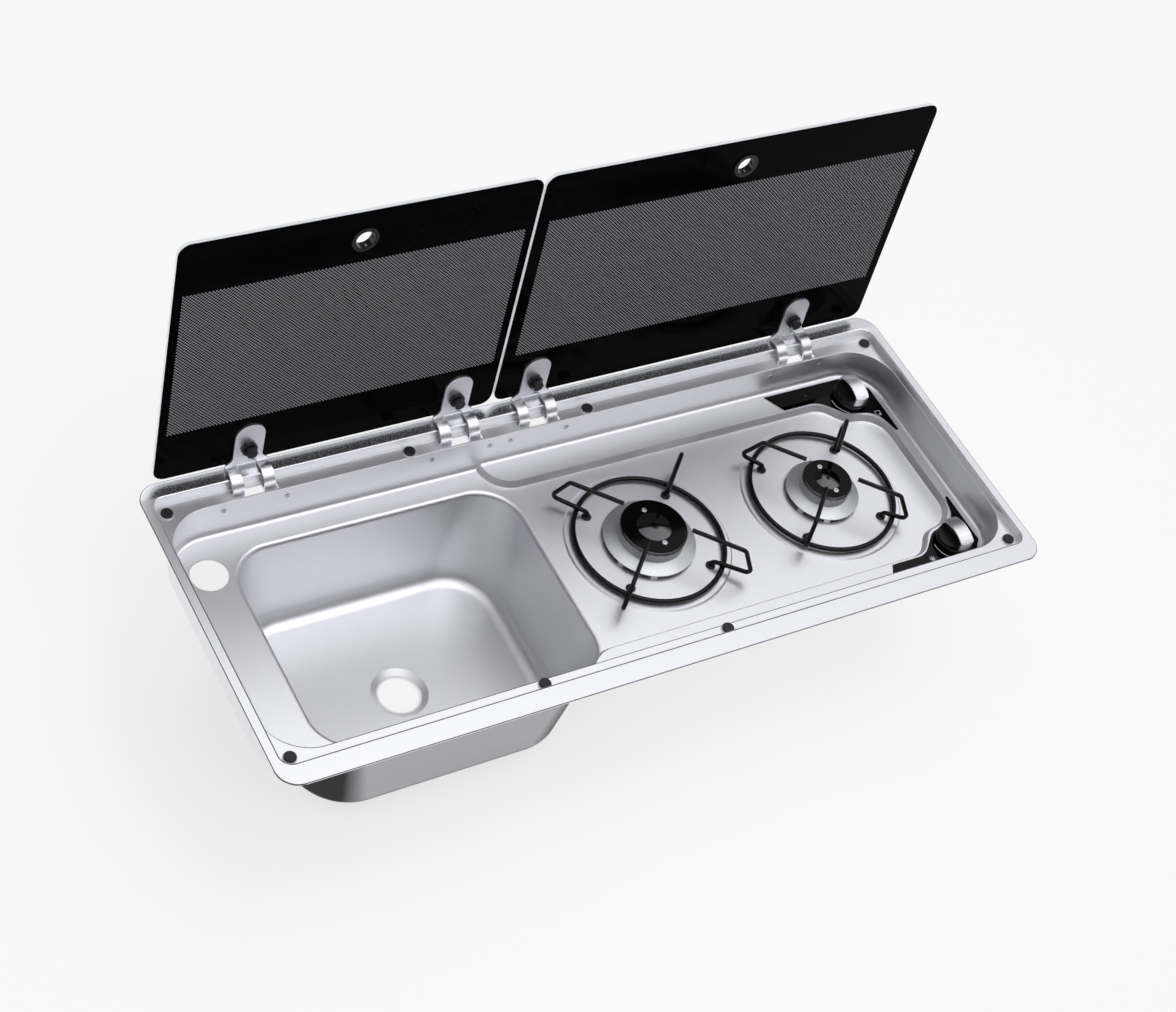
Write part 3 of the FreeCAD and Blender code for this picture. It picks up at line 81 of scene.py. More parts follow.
def linear(code: str) -> tuple[float, float, float, float]:
    """Turns an sRGB hex colour to linear light.

    Args:
        code: Colour such as "#C8C9CB".

    Returns:
        Linear red, green, blue and an alpha of 1.
    """
    parts = []
    for at in (1, 3, 5):
        value = int(code[at:at + 2], 16) / 255
        parts.append(value / 12.92 if value <= 0.04045 else ((value + 0.055) / 1.055) ** 2.4)
    return parts[0], parts[1], parts[2], 1.0


def add_node(tree: Tree, kind: str, values: Inputs | None = None, **settings: Any) -> bpy.types.Node:
    """Adds one node with its settings, fixed inputs and links.

    Args:
        tree: Node tree that takes the node.
        kind: Type of the node.
        values: For an input's name or place, a fixed value or the output that feeds it.
        settings: The node's own options.

    Returns:
        The new node.
    """
    node = tree.nodes.new(kind)
    for option, value in settings.items():
        setattr(node, option, value)
    for key, value in (values or {}).items():
        if isinstance(value, Socket):
            tree.links.new(value, node.inputs[key])
        else:
            node.inputs[key].default_value = value
    return node


def per_mm(size_mm: float) -> float:
    """Texture scale at which a pattern's cells are so many millimetres wide."""
    return 1 / (size_mm * MM)


@dataclass(frozen=True)
class Finish:
    """A surface with a fine grain that varies its colour, roughness and height.

    Attributes:
        name: What the material is.
        colour: Main colour.
        shade: Colour in the low spots of the grain.
        rough: Lowest and highest roughness.
        grain_mm: Width of the grain along X, Y and Z.
        relief_mm: Height of the grain.
        metallic: 1 for bare metal.
        gloss: Specular level of a surface that isn't metal.
        coat: Weight of a clear coat.
    """

    name: str
    colour: str
    shade: str
    rough: tuple[float, float]
    grain_mm: tuple[float, float, float]
    relief_mm: float = 0.0
    metallic: float = 0.0
    gloss: float = 0.5
    coat: float = 0.0

    def blank(self) -> tuple[bpy.types.Material, bpy.types.Node]:
        """Starts the material.

        Returns:
            The material and its shader.
        """
        material = bpy.data.materials.new(self.name)
        material.use_nodes = True
        shader = material.node_tree.nodes["Principled BSDF"]
        shader.inputs["Metallic"].default_value = self.metallic
        shader.inputs["Specular IOR Level"].default_value = self.gloss
        shader.inputs["Coat Weight"].default_value = self.coat
        return material, shader

    def grain(self, tree: Tree, place: Socket) -> Socket:
        """Adds the grain pattern.

        Args:
            tree: Node tree of the material.
            place: Object coordinates.

        Returns:
            Grain height from 0 to 1.
        """
        scale = [per_mm(width) for width in self.grain_mm]
        fit = add_node(tree, "ShaderNodeMapping", {"Vector": place, "Scale": scale})
        pattern = {"Vector": fit.outputs[0], "Scale": 1.0, "Detail": GRAIN_DETAIL}
        return add_node(tree, "ShaderNodeTexNoise", pattern).outputs["Fac"]

    def tint(self, tree: Tree, grain: Socket, place: Socket) -> Socket:
        """Adds the colour.

        Args:
            tree: Node tree of the material.
            grain: Grain height.
            place: Object coordinates; not used here, only by the finishes built on this one.

        Returns:
            Colour of the surface.
        """
        ramp = add_node(tree, "ShaderNodeValToRGB", {"Fac": grain})
        ramp.color_ramp.elements[0].position = GRAIN_LOW
        ramp.color_ramp.elements[0].color = linear(self.shade)
        ramp.color_ramp.elements[1].position = GRAIN_HIGH
        ramp.color_ramp.elements[1].color = linear(self.colour)
        return ramp.outputs["Color"]

    def make(self) -> bpy.types.Material:
        """Builds the material.

        Returns:
            The finished material.
        """
        material, shader = self.blank()
        tree = material.node_tree
        place = add_node(tree, "ShaderNodeTexCoord").outputs["Object"]
        grain = self.grain(tree, place)
        low, high = self.rough
        span = {"Value": grain, "From Min": GRAIN_LOW, "From Max": GRAIN_HIGH, "To Min": low, "To Max": high}
        rough = add_node(tree, "ShaderNodeMapRange", span)
        tree.links.new(rough.outputs[0], shader.inputs["Roughness"])
        tree.links.new(self.tint(tree, grain, place), shader.inputs["Base Color"])
        if self.relief_mm:
            relief = {"Height": grain, "Distance": self.relief_mm * MM, "Strength": 1.0}
            bump = add_node(tree, "ShaderNodeBump", relief)
            tree.links.new(bump.outputs[0], shader.inputs["Normal"])
        return material


@dataclass(frozen=True)
class EdgeShadeLine:
    """Thin dark line of painted shade along an edge, on a rectangle with round corners.

    Attributes:
        half_mm: Half the rectangle's length and depth.
        corner_mm: Radius of its corners.
        middle_mm: Y of its middle.
        width_mm: Width of the line.
        heights_mm: Lowest and highest place that it marks.
        back_mm: Y at which it has faded out.
        fade_mm: Length over which it fades.
    """

    half_mm: tuple[float, float]
    corner_mm: float
    middle_mm: float
    width_mm: float
    heights_mm: tuple[float, float]
    back_mm: float
    fade_mm: float = 60.0

    def mask(self, tree: Tree, place: Socket) -> Socket:
        """Finds the line.

        Args:
            tree: Node tree of the material.
            place: Object coordinates.

        Returns:
            1 on the line and 0 elsewhere.
        """
        middle = (0, self.middle_mm * MM, 0)
        flat = [(half - self.corner_mm) * MM for half in self.half_mm] + [1.0]
        away = add_node(tree, "ShaderNodeVectorMath", {0: place, 1: middle}, operation="SUBTRACT").outputs[0]
        away = add_node(tree, "ShaderNodeVectorMath", {0: away}, operation="ABSOLUTE").outputs[0]
        away = add_node(tree, "ShaderNodeVectorMath", {0: away, 1: flat}, operation="SUBTRACT").outputs[0]
        away = add_node(tree, "ShaderNodeVectorMath", {0: away, 1: (0, 0, 0)}, operation="MAXIMUM").outputs[0]
        reach = add_node(tree, "ShaderNodeVectorMath", {0: away}, operation="LENGTH").outputs["Value"]
        near = {0: reach, 1: self.corner_mm * MM, 2: self.width_mm * MM / 2}
        line = add_node(tree, "ShaderNodeMath", near, operation="COMPARE").outputs[0]
        low, high = (height * MM for height in self.heights_mm)
        axes = add_node(tree, "ShaderNodeSeparateXYZ", {0: place})
        level = {0: axes.outputs["Z"], 1: (low + high) / 2, 2: (high - low) / 2}
        band = add_node(tree, "ShaderNodeMath", level, operation="COMPARE").outputs[0]
        full_mm = self.back_mm - self.fade_mm
        end = {"Value": axes.outputs["Y"], "From Min": self.back_mm * MM, "From Max": full_mm * MM}
        front = add_node(tree, "ShaderNodeMapRange", end).outputs[0]
        line = add_node(tree, "ShaderNodeMath", {0: line, 1: band}, operation="MULTIPLY").outputs[0]
        return add_node(tree, "ShaderNodeMath", {0: line, 1: front}, operation="MULTIPLY").outputs[0]


@dataclass(frozen=True)
class ShadeLinedSteel(Finish):
    """Satin sheet with thin dark lines of painted shade along its edges and a smoother strip along the
    hinges.

    Attributes:
        shade_lines: The lines of painted shade.
        line: Colour of the painted shade lines.
        strip_mm: Y at which the smoother strip starts and is full.
        polish: Share of the roughness that is left on that strip.
    """

    shade_lines: tuple[EdgeShadeLine, ...] = ()
    line: str = "#5C5C62"
    strip_mm: tuple[float, float] = (165.5, 168.5)
    polish: float = 0.62

    def make(self) -> bpy.types.Material:
        """Builds the material.

        Returns:
            The finished material.
        """
        material = super().make()
        tree = material.node_tree
        shader = tree.nodes["Principled BSDF"]
        rough = shader.inputs["Roughness"].links[0].from_socket
        place = add_node(tree, "ShaderNodeTexCoord").outputs["Object"]
        depth = add_node(tree, "ShaderNodeSeparateXYZ", {0: place}).outputs["Y"]
        start, end = (size * MM for size in self.strip_mm)
        span = {"Value": depth, "From Min": start, "From Max": end, "To Min": 1.0, "To Max": self.polish}
        share = add_node(tree, "ShaderNodeMapRange", span).outputs[0]
        level = add_node(tree, "ShaderNodeMath", {0: rough, 1: share}, operation="MULTIPLY").outputs[0]
        tree.links.new(level, shader.inputs["Roughness"])
        return material

    def tint(self, tree: Tree, grain: Socket, place: Socket) -> Socket:
        """Adds the colour of the sheet and the painted shade of its dark edge lines.

        Args:
            tree: Node tree of the material.
            grain: Grain height.
            place: Object coordinates.

        Returns:
            Colour of the surface.
        """
        colour = super().tint(tree, grain, place)
        # Painted shade: each edge line mixes a dark line into the sheet's colour.
        for line in self.shade_lines:
            mix = {0: line.mask(tree, place), MIX_A: colour, MIX_B: linear(self.line)}
            colour = add_node(tree, "ShaderNodeMix", mix, data_type="RGBA").outputs[MIX_OUT]
        return colour


@dataclass(frozen=True)
class BowlSteel(Finish):
    """Satin steel whose outer side is darker, partly a duller skin and partly painted shade, with painted
    shade near black round its corners and bottom edge.

    Attributes:
        shaded_outside: Colour of the flat outer sides, darker than inside, partly a duller skin and partly
            painted shade.
        drawn: Painted shade, near black, on the outer side round its corners and bottom edge.
        turns: Share of turn at which that colour starts and is full.
        middle_mm: A point above the bowl that its inner faces all look towards.
    """

    shaded_outside: str = "#B2B2B6"
    drawn: str = "#1E1E20"
    turns: tuple[float, float] = (0.06, 0.45)
    middle_mm: tuple[float, float, float] = (-214.5, -7.5, 60.0)

    def tint(self, tree: Tree, grain: Socket, place: Socket) -> Socket:
        """Adds the colour of both sides.

        Args:
            tree: Node tree of the material.
            grain: Grain height.
            place: Object coordinates.

        Returns:
            Colour of the surface.
        """
        inside = super().tint(tree, grain, place)
        facing = add_node(tree, "ShaderNodeTexCoord").outputs["Normal"]
        middle = [size * MM for size in self.middle_mm]
        away = add_node(tree, "ShaderNodeVectorMath", {0: place, 1: middle}, operation="SUBTRACT")
        sides = {0: away.outputs[0], 1: facing}
        side = add_node(tree, "ShaderNodeVectorMath", sides, operation="DOT_PRODUCT")
        outer = add_node(tree, "ShaderNodeMath", {0: side.outputs["Value"], 1: 0.0}, operation="GREATER_THAN")
        axes = add_node(tree, "ShaderNodeSeparateXYZ", {0: facing})
        along = add_node(tree, "ShaderNodeMath", {0: axes.outputs["X"]}, operation="ABSOLUTE")
        down = add_node(tree, "ShaderNodeMath", {0: axes.outputs["Z"], 1: -1.0}, operation="MULTIPLY")
        either = {0: along.outputs[0], 1: down.outputs[0]}
        turn = add_node(tree, "ShaderNodeMath", either, operation="MAXIMUM")
        # Painted shade: the outer side darkens to near black as its face turns to the ends and downward.
        ramp = add_node(tree, "ShaderNodeValToRGB", {"Fac": turn.outputs[0]})
        for element, share, colour in zip(ramp.color_ramp.elements, self.turns, (self.shaded_outside, self.drawn)):
            element.position = share
            element.color = linear(colour)
        mix = {0: outer.outputs[0], MIX_A: inside, MIX_B: ramp.outputs["Color"]}
        return add_node(tree, "ShaderNodeMix", mix, data_type="RGBA").outputs[MIX_OUT]


@dataclass(frozen=True)
class DomedEnamel(Finish):
    """Enamel that is dull on level faces and polished where the face curves away.

    Attributes:
        polish: Specular level of the curved faces.
        index: Refractive index of the enamel.
        tilts: Upward share of the facing at which the polish starts and is full.
    """

    polish: float = 0.45
    index: float = 1.9
    tilts: tuple[float, float] = (0.9998, 0.9985)

    def make(self) -> bpy.types.Material:
        """Builds the material with its two levels of gloss.

        Returns:
            The finished material.
        """
        material = super().make()
        tree = material.node_tree
        shader = tree.nodes["Principled BSDF"]
        shader.inputs["IOR"].default_value = self.index
        facing = add_node(tree, "ShaderNodeTexCoord").outputs["Normal"]
        upward = add_node(tree, "ShaderNodeSeparateXYZ", {0: facing}).outputs["Z"]
        span = {"Value": upward, "From Min": self.tilts[0], "From Max": self.tilts[1]}
        span |= {"To Min": self.gloss, "To Max": self.polish}
        level = add_node(tree, "ShaderNodeMapRange", span).outputs[0]
        tree.links.new(level, shader.inputs["Specular IOR Level"])
        return material


@dataclass(frozen=True)
class LidGlass(Finish):
    """Toughened glass with a black print that leaves a window of fine dots, and ground edges.

    Attributes:
        window_mm: Left, right, low and high side of the dotted window, along and up the lid.
        foot_mm: Y and Z of the lid's lower edge on its inner face.
        lean: Degrees that the open lid leans back.
        pitch_mm: Distance between dots along their slanting rows.
        dot_share: Radius of a dot as a share of the pitch.
        dot: Colour of a dot.
        edge: Colour of the ground edges.
        rim_share: Share of facing below which a face counts as an edge.
    """

    window_mm: tuple[float, float, float, float] = (0.0, 1.0, 0.0, 1.0)
    foot_mm: tuple[float, float] = (182.0, 8.5)
    lean: float = 3.4
    pitch_mm: float = 2.6
    dot_share: float = 0.36
    dot: str = "#828284"
    edge: str = "#E9EDEE"
    rim_share: float = 0.6

    def dots(self, tree: Tree, place: Socket) -> Socket:
        """Adds the dotted window.

        Args:
            tree: Node tree of the material.
            place: Object coordinates.

        Returns:
            1 on a dot of the window and 0 elsewhere.
        """
        turn = math.radians(self.lean)
        up = Vector((0, math.sin(turn), math.cos(turn)))
        foot = Vector((0, self.foot_mm[0], self.foot_mm[1])) * MM
        slant = math.sqrt(0.5) / (self.pitch_mm * MM)
        rows = []
        for side in (1, -1):
            run = (Vector((1, 0, 0)) + side * up) * slant
            reach = add_node(tree, "ShaderNodeVectorMath", {0: place, 1: run}, operation="DOT_PRODUCT")
            shift = {0: reach.outputs["Value"], 1: run.dot(foot)}
            rows.append(add_node(tree, "ShaderNodeMath", shift, operation="SUBTRACT").outputs[0])
        grid = add_node(tree, "ShaderNodeCombineXYZ", {"X": rows[0], "Y": rows[1]}).outputs[0]
        cell = add_node(tree, "ShaderNodeVectorMath", {0: grid}, operation="FLOOR").outputs[0]
        cell = add_node(tree, "ShaderNodeVectorMath", {0: cell, 1: (0.5, 0.5, 0)}).outputs[0]
        far = add_node(tree, "ShaderNodeVectorMath", {0: grid, 1: cell}, operation="DISTANCE")
        inside = {0: far.outputs["Value"], 1: self.dot_share}
        mask = add_node(tree, "ShaderNodeMath", inside, operation="LESS_THAN").outputs[0]
        left, right, low, high = (size * MM for size in self.window_mm)
        limits = (((1, 1), left, right), ((1, -1), low, high))
        for signs, start, end in limits:
            run = Vector((signs[0], signs[1], 0)) * (0.5 / slant)
            along = add_node(tree, "ShaderNodeVectorMath", {0: cell, 1: run}, operation="DOT_PRODUCT")
            inside = {0: along.outputs["Value"], 1: (start + end) / 2, 2: (end - start) / 2}
            window = add_node(tree, "ShaderNodeMath", inside, operation="COMPARE").outputs[0]
            mask = add_node(tree, "ShaderNodeMath", {0: mask, 1: window}, operation="MULTIPLY").outputs[0]
        return mask

    def tint(self, tree: Tree, grain: Socket, place: Socket) -> Socket:
        """Adds the colours of the print, the dots and the edges.

        Args:
            tree: Node tree of the material.
            grain: Grain height.
            place: Object coordinates.

        Returns:
            Colour of the surface.
        """
        base = super().tint(tree, grain, place)
        print_mix = {0: self.dots(tree, place), MIX_A: base, MIX_B: linear(self.dot)}
        faces = add_node(tree, "ShaderNodeMix", print_mix, data_type="RGBA").outputs[MIX_OUT]
        turn = math.radians(self.lean)
        facing = add_node(tree, "ShaderNodeTexCoord").outputs["Normal"]
        across = {0: facing, 1: (0, -math.cos(turn), math.sin(turn))}
        flat = add_node(tree, "ShaderNodeVectorMath", across, operation="DOT_PRODUCT").outputs["Value"]
        flat = add_node(tree, "ShaderNodeMath", {0: flat}, operation="ABSOLUTE").outputs[0]
        rim = add_node(tree, "ShaderNodeMath", {0: flat, 1: self.rim_share}, operation="LESS_THAN").outputs[0]
        edge_mix = {0: rim, MIX_A: faces, MIX_B: linear(self.edge)}
        return add_node(tree, "ShaderNodeMix", edge_mix, data_type="RGBA").outputs[MIX_OUT]


# Stainless sheet with a satin finish: a fine even grit that blurs reflections. The real grit is about 0.1 mm;
# it is drawn at 0.9 mm so that it just shows. The tray has thin dark lines of painted shade along the rim's
# edge, its step and the well's edge, and a smoother strip along the hinges that mirrors the lids.
TRAY_STEEL = ShadeLinedSteel(
    "satin_stainless_steel_tray", "#EFEFF2", "#E8E8EC", (0.4, 0.46), (0.9, 0.9, 0.9), metallic=1.0,
    shade_lines=(
        EdgeShadeLine(
            half_mm=(449.6, 184.6), corner_mm=22.6, middle_mm=0.0, width_mm=0.8, heights_mm=(0.5, 2.1),
            back_mm=300.0,
        ),
        EdgeShadeLine(
            half_mm=(440.2, 164.9), corner_mm=13.4, middle_mm=2.5, width_mm=0.9, heights_mm=(-1.5, 2.1),
            back_mm=150.0,
        ),
        EdgeShadeLine(
            half_mm=(438.6, 148.1), corner_mm=50.6, middle_mm=0.0, width_mm=0.9, heights_mm=(-8.5, -6.5),
            back_mm=-105.0, fade_mm=30.0,
        ),
    ),
)
# The drawn bowl: the same sheet, satin inside; its outside is darker, partly a duller skin and partly painted
# shade, and painted near black round its corners and bottom edge.
BOWL_STEEL = BowlSteel(
    "satin_stainless_steel_bowl", "#EFEFF2", "#E8E8EC", (0.4, 0.46), (0.9, 0.9, 0.9), metallic=1.0
)
# Closed-cell foam tape: soft dark grey with open pores.
SEAL_FOAM = Finish("seal_foam_tape", "#4A4A4C", "#333335", (0.8, 0.95), (1.2, 1.2, 1.2), 0.15, gloss=0.3)
# Moulded rubber: near black and matt, with a slight bloom.
BLACK_RUBBER = Finish(
    "moulded_black_rubber", "#242426", "#171719", (0.45, 0.6), (1.5, 1.5, 1.5), 0.02, gloss=0.4
)
# Moulded nylon washers: milky and slightly shiny.
PALE_NYLON = Finish("moulded_pale_nylon", "#D9D9DC", "#CDCDD1", (0.35, 0.45), (2.0, 2.0, 2.0), 0.01)
# Zinc-plated steel: bright with a faint cloudy variation from the bath.
PLATED_STEEL = Finish("zinc_plated_steel", "#D2D3D8", "#B9BBC2", (0.2, 0.32), (4.0, 4.0, 4.0), metallic=1.0)
# Satin chromed hinge strip: brighter than the tray, with a soft sheen.
HINGE_STEEL = Finish("satin_hinge_steel", "#E6E6EA", "#D9D9DE", (0.3, 0.38), (0.8, 0.8, 0.8), metallic=1.0)
# Moulded ABS with a fine spark-eroded texture: satin black.
BLACK_PLASTIC = Finish(
    "moulded_black_abs", "#111112", "#0B0B0C", (0.24, 0.36), (0.8, 0.8, 0.8), 0.01, gloss=0.28
)
# Vitreous enamel on steel: deep black, with a wet gloss on the polished middle of the cap.
BLACK_ENAMEL = DomedEnamel(
    "black_vitreous_enamel", "#070708", "#050506", (0.06, 0.1), (5.0, 5.0, 5.0), gloss=0.03
)
# Cast aluminium: pale grey, finely pitted from the mould.
CAST_ALUMINIUM = Finish(
    "cast_aluminium", "#DADBDD", "#C2C4C7", (0.38, 0.5), (1.2, 1.2, 1.2), 0.03, metallic=1.0
)
# Drawn aluminium tube: bright, with faint lines along it.
DRAWN_ALUMINIUM = Finish(
    "drawn_aluminium_tube", "#D5D6D8", "#BFC1C4", (0.25, 0.35), (6.0, 6.0, 0.8), metallic=1.0
)
# Brushed and anodised aluminium: fine lines across the strip. Real lines are 0.05 mm wide; they are drawn
# at 0.5 mm so that they show.
BRUSHED_ALUMINIUM = Finish(
    "brushed_anodised_aluminium", "#E4E4E6", "#C4C5C8", (0.28, 0.4), (14.0, 0.5, 0.5), 0.01, metallic=1.0
)
# Turned brass: warm yellow with faint tool rings.
BRASS = Finish("turned_brass", "#D8B45C", "#C39C45", (0.2, 0.3), (4.0, 4.0, 0.4), metallic=1.0)
# Enamelled steel wire: glossy black, slightly uneven where the enamel ran.
WIRE_ENAMEL = Finish(
    "enamelled_steel_wire", "#101011", "#0A0A0B", (0.14, 0.22), (6.0, 6.0, 6.0), 0.04, gloss=0.22
)
# Screen-printed panel: smooth deep black with only a faint mirror of the room.
PANEL_PRINT = Finish("printed_black_panel", "#060607", "#040405", (0.04, 0.07), (1.0, 1.0, 1.0), gloss=0.1)
# Screen-printing ink: flat pale grey.
PALE_INK = Finish("pale_printing_ink", "#C9C9CC", "#B5B5B9", (0.5, 0.6), (0.6, 0.6, 0.6))
# Glass with a black ceramic print, one finish for each lid, because the dotted windows differ.
SINK_GLASS = LidGlass(
    "printed_black_glass_sink", "#040405", "#030304", (0.05, 0.07), (30.0, 30.0, 30.0), gloss=0.015,
    window_mm=(-421.5, -62.0, 61.0, 243.0),
)
HOB_GLASS = LidGlass(
    "printed_black_glass_hob", "#040405", "#030304", (0.05, 0.07), (30.0, 30.0, 30.0), gloss=0.015,
    window_mm=(-36.5, 421.0, 63.0, 248.0),
)
FINISHES = (
    TRAY_STEEL, BOWL_STEEL, SEAL_FOAM, BLACK_RUBBER, PALE_NYLON, PLATED_STEEL, HINGE_STEEL, BLACK_PLASTIC,
    BLACK_ENAMEL, CAST_ALUMINIUM, DRAWN_ALUMINIUM, BRUSHED_ALUMINIUM, BRASS, WIRE_ENAMEL, PANEL_PRINT,
    PALE_INK, SINK_GLASS, HOB_GLASS,
)


def dress(node: str, finish: bpy.types.Material) -> None:
    """Gives a CAD node its finish.

    Args:
        node: Name of the node.
        finish: Material for it.

    Returns:
        None.
    """
    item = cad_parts[node]
    if not item.material_slots:
        item.data.materials.append(finish)
    for slot in item.material_slots:
        slot.material = finish
    LOG.info("%s dressed in %s", node, finish.name)


def deselect() -> None:
    """Leaves nothing selected, so that operators act on the new piece alone."""
    bpy.ops.object.select_all(action="DESELECT")


def settle(name: str, body: str, finish: bpy.types.Material) -> None:
    """Finishes the active piece: applies its place, dresses it and ties it to its body.

    Args:
        name: Name of the piece.
        body: Body that it rides on.
        finish: Its material.

    Returns:
        None.
    """
    piece = bpy.context.active_object
    bpy.ops.object.transform_apply(location=True, rotation=True, scale=True)
    piece.name = name
    piece.data.name = name
    piece.data.materials.clear()
    piece.data.materials.append(finish)
    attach(piece, body)
    LOG.info("%s built on %s", name, body)


def thicken(height: float) -> None:
    """Gives the active flat piece its thickness, upwards, and closes it.

    Args:
        height: Thickness in metres.

    Returns:
        None.
    """
    solid = bpy.context.active_object.modifiers.new("thickness", "SOLIDIFY")
    solid.thickness = height
    solid.offset = 1.0
    bpy.ops.object.modifier_apply(modifier=solid.name)


def pick(test: Callable[[Vector], bool]) -> None:
    """Selects, in edit mode, the vertices whose place passes a test.

    Args:
        test: Takes a vertex's place and says whether it is picked.

    Returns:
        None.
    """
    bpy.ops.mesh.select_mode(type="VERT")
    bpy.ops.mesh.select_all(action="DESELECT")
    bpy.ops.object.mode_set(mode="OBJECT")
    for vertex in bpy.context.active_object.data.vertices:
        vertex.select = test(vertex.co)
    bpy.ops.object.mode_set(mode="EDIT")


@dataclass
class SteelTray:
    """Pressed tray with its bowl, seal, bumpers and hinge fixings.

    Attributes:
        finishes: Finish of each node.
    """

    finishes: dict[str, Finish] = field(
        default_factory=lambda: {
            "tray": TRAY_STEEL,
            "tray_shelf": TRAY_STEEL,
            "tray_deck": TRAY_STEEL,
            "sink_bowl": BOWL_STEEL,
            "rim_gasket": SEAL_FOAM,
            "lid_bumpers": BLACK_RUBBER,
            "bumper_collars": PALE_NYLON,
            "hinge_brackets": PLATED_STEEL,
            "hinge_pins": PLATED_STEEL,
            "hinge_rivets": PLATED_STEEL,
        }
    )

    def dress(self, paint: dict[Finish, bpy.types.Material]) -> None:
        """Dresses the tray's nodes."""
        for node, finish in self.finishes.items():
            dress(node, paint[finish])


@dataclass
class GlassLid:
    """Hinged glass lid with its finger ring and hinge arms.

    Attributes:
        place: Which lid.
        glass: Finish of its glass.
    """

    place: Lids
    glass: Finish

    def dress(self, paint: dict[Finish, bpy.types.Material]) -> None:
        """Dresses the lid's nodes.

        Args:
            paint: Material of each finish.

        Returns:
            None.
        """
        name = self.place.value
        dress(name + "_glass", paint[self.glass])
        dress(name + "_finger_ring", paint[BLACK_PLASTIC])
        dress(name + "_hinge_arms", paint[HINGE_STEEL])
        dress(name + "_screws", paint[BLACK_PLASTIC])
        dress(name + "_discs", paint[HINGE_STEEL])


@dataclass
class GasBurner:
    """Gas burner with its cap, head, skirt and cup, and the wire support over it.

    Attributes:
        place: Which burner.
    """

    place: Burners

    def dress(self, paint: dict[Finish, bpy.types.Material]) -> None:
        """Dresses the burner's nodes.

        Args:
            paint: Material of each finish.

        Returns:
            None.
        """
        name = self.place.value + "_burner_"
        dress(name + "cap", paint[BLACK_ENAMEL])
        dress(name + "cap_screws", paint[PLATED_STEEL])
        dress(name + "head", paint[CAST_ALUMINIUM])
        dress(name + "ring", paint[CAST_ALUMINIUM])
        dress(name + "cup", paint[CAST_ALUMINIUM])
        dress(name + "flame_probe", paint[PLATED_STEEL])
        dress(name + "spark_rod", paint[PLATED_STEEL])
        dress(name + "injector", paint[BRASS])
        dress(self.place.value + "_pan_support", paint[WIRE_ENAMEL])


@dataclass
class ControlCorner:
    """Knob, printed panel and gas tap in one corner.

    Attributes:
        place: Which corner.
        knob_mm: X and Y of the knob.
        panel_top_mm: Height of the panel's face.
        ink_mm: Thickness of the printed ink.
        arc_r_mm: Radius of the flame arc.
        arc_width_mm: Width of the arc at its thin end.
        arc_swing: Degrees at which the arc starts and ends.
        taper_mm: How much wider the arc grows.
    """

    place: Corners = Corners.REAR
    knob_mm: tuple[float, float] = (395.0, 110.0)
    panel_top_mm: float = -45.7
    ink_mm: float = 0.06
    arc_r_mm: float = 23.6
    arc_width_mm: float = 0.7
    arc_swing: tuple[float, float] = (170.0, 238.0)
    taper_mm: float = 0.45

    def dress(self, paint: dict[Finish, bpy.types.Material]) -> None:
        """Dresses the corner's nodes.

        Args:
            paint: Material of each finish.

        Returns:
            None.
        """
        name = self.place.value + "_"
        dress(name + "control_panel", paint[PANEL_PRINT])
        dress(name + "knob", paint[BLACK_PLASTIC])
        dress(name + "knob_strip", paint[BRUSHED_ALUMINIUM])
        dress(name + "spindle", paint[BRASS])
        dress(name + "plunger", paint[BRASS])
        dress(name + "gas_valve", paint[CAST_ALUMINIUM])
        dress(name + "feed_pipe", paint[DRAWN_ALUMINIUM])

    def spot(self, x_mm: float, y_mm: float) -> tuple[float, float, float]:
        """Place on the panel's face."""
        return x_mm * MM, y_mm * MM, self.panel_top_mm * MM

    def build(self, paint: dict[Finish, bpy.types.Material]) -> None:
        """Prints the flame arc round the knob.

        Args:
            paint: Material of each finish.

        Returns:
            None.
        """
        deselect()
        centre = self.spot(*self.knob_mm)
        bpy.ops.mesh.primitive_circle_add(vertices=ARC_STEPS, radius=self.arc_r_mm * MM, location=centre)
        start, end = (math.radians(turn) for turn in self.arc_swing)
        bpy.ops.object.mode_set(mode="EDIT")
        pick(lambda co: not start <= math.atan2(co.y, co.x) % math.tau <= end)
        bpy.ops.mesh.delete(type="VERT")
        bpy.ops.mesh.select_all(action="SELECT")
        bpy.ops.mesh.extrude_edges_move()
        inner = 1 - self.arc_width_mm / self.arc_r_mm
        bpy.ops.transform.resize(value=(inner, inner, 1), center_override=centre)
        shift = (-math.cos(end) * self.taper_mm * MM, -math.sin(end) * self.taper_mm * MM, 0)
        bpy.ops.transform.translate(value=shift)
        bpy.ops.mesh.select_all(action="SELECT")
        bpy.ops.mesh.normals_make_consistent(inside=False)
        bpy.ops.object.mode_set(mode="OBJECT")
        thicken(self.ink_mm * MM)
        settle(self.place.value + "_flame_arc", "unit", paint[PALE_INK])


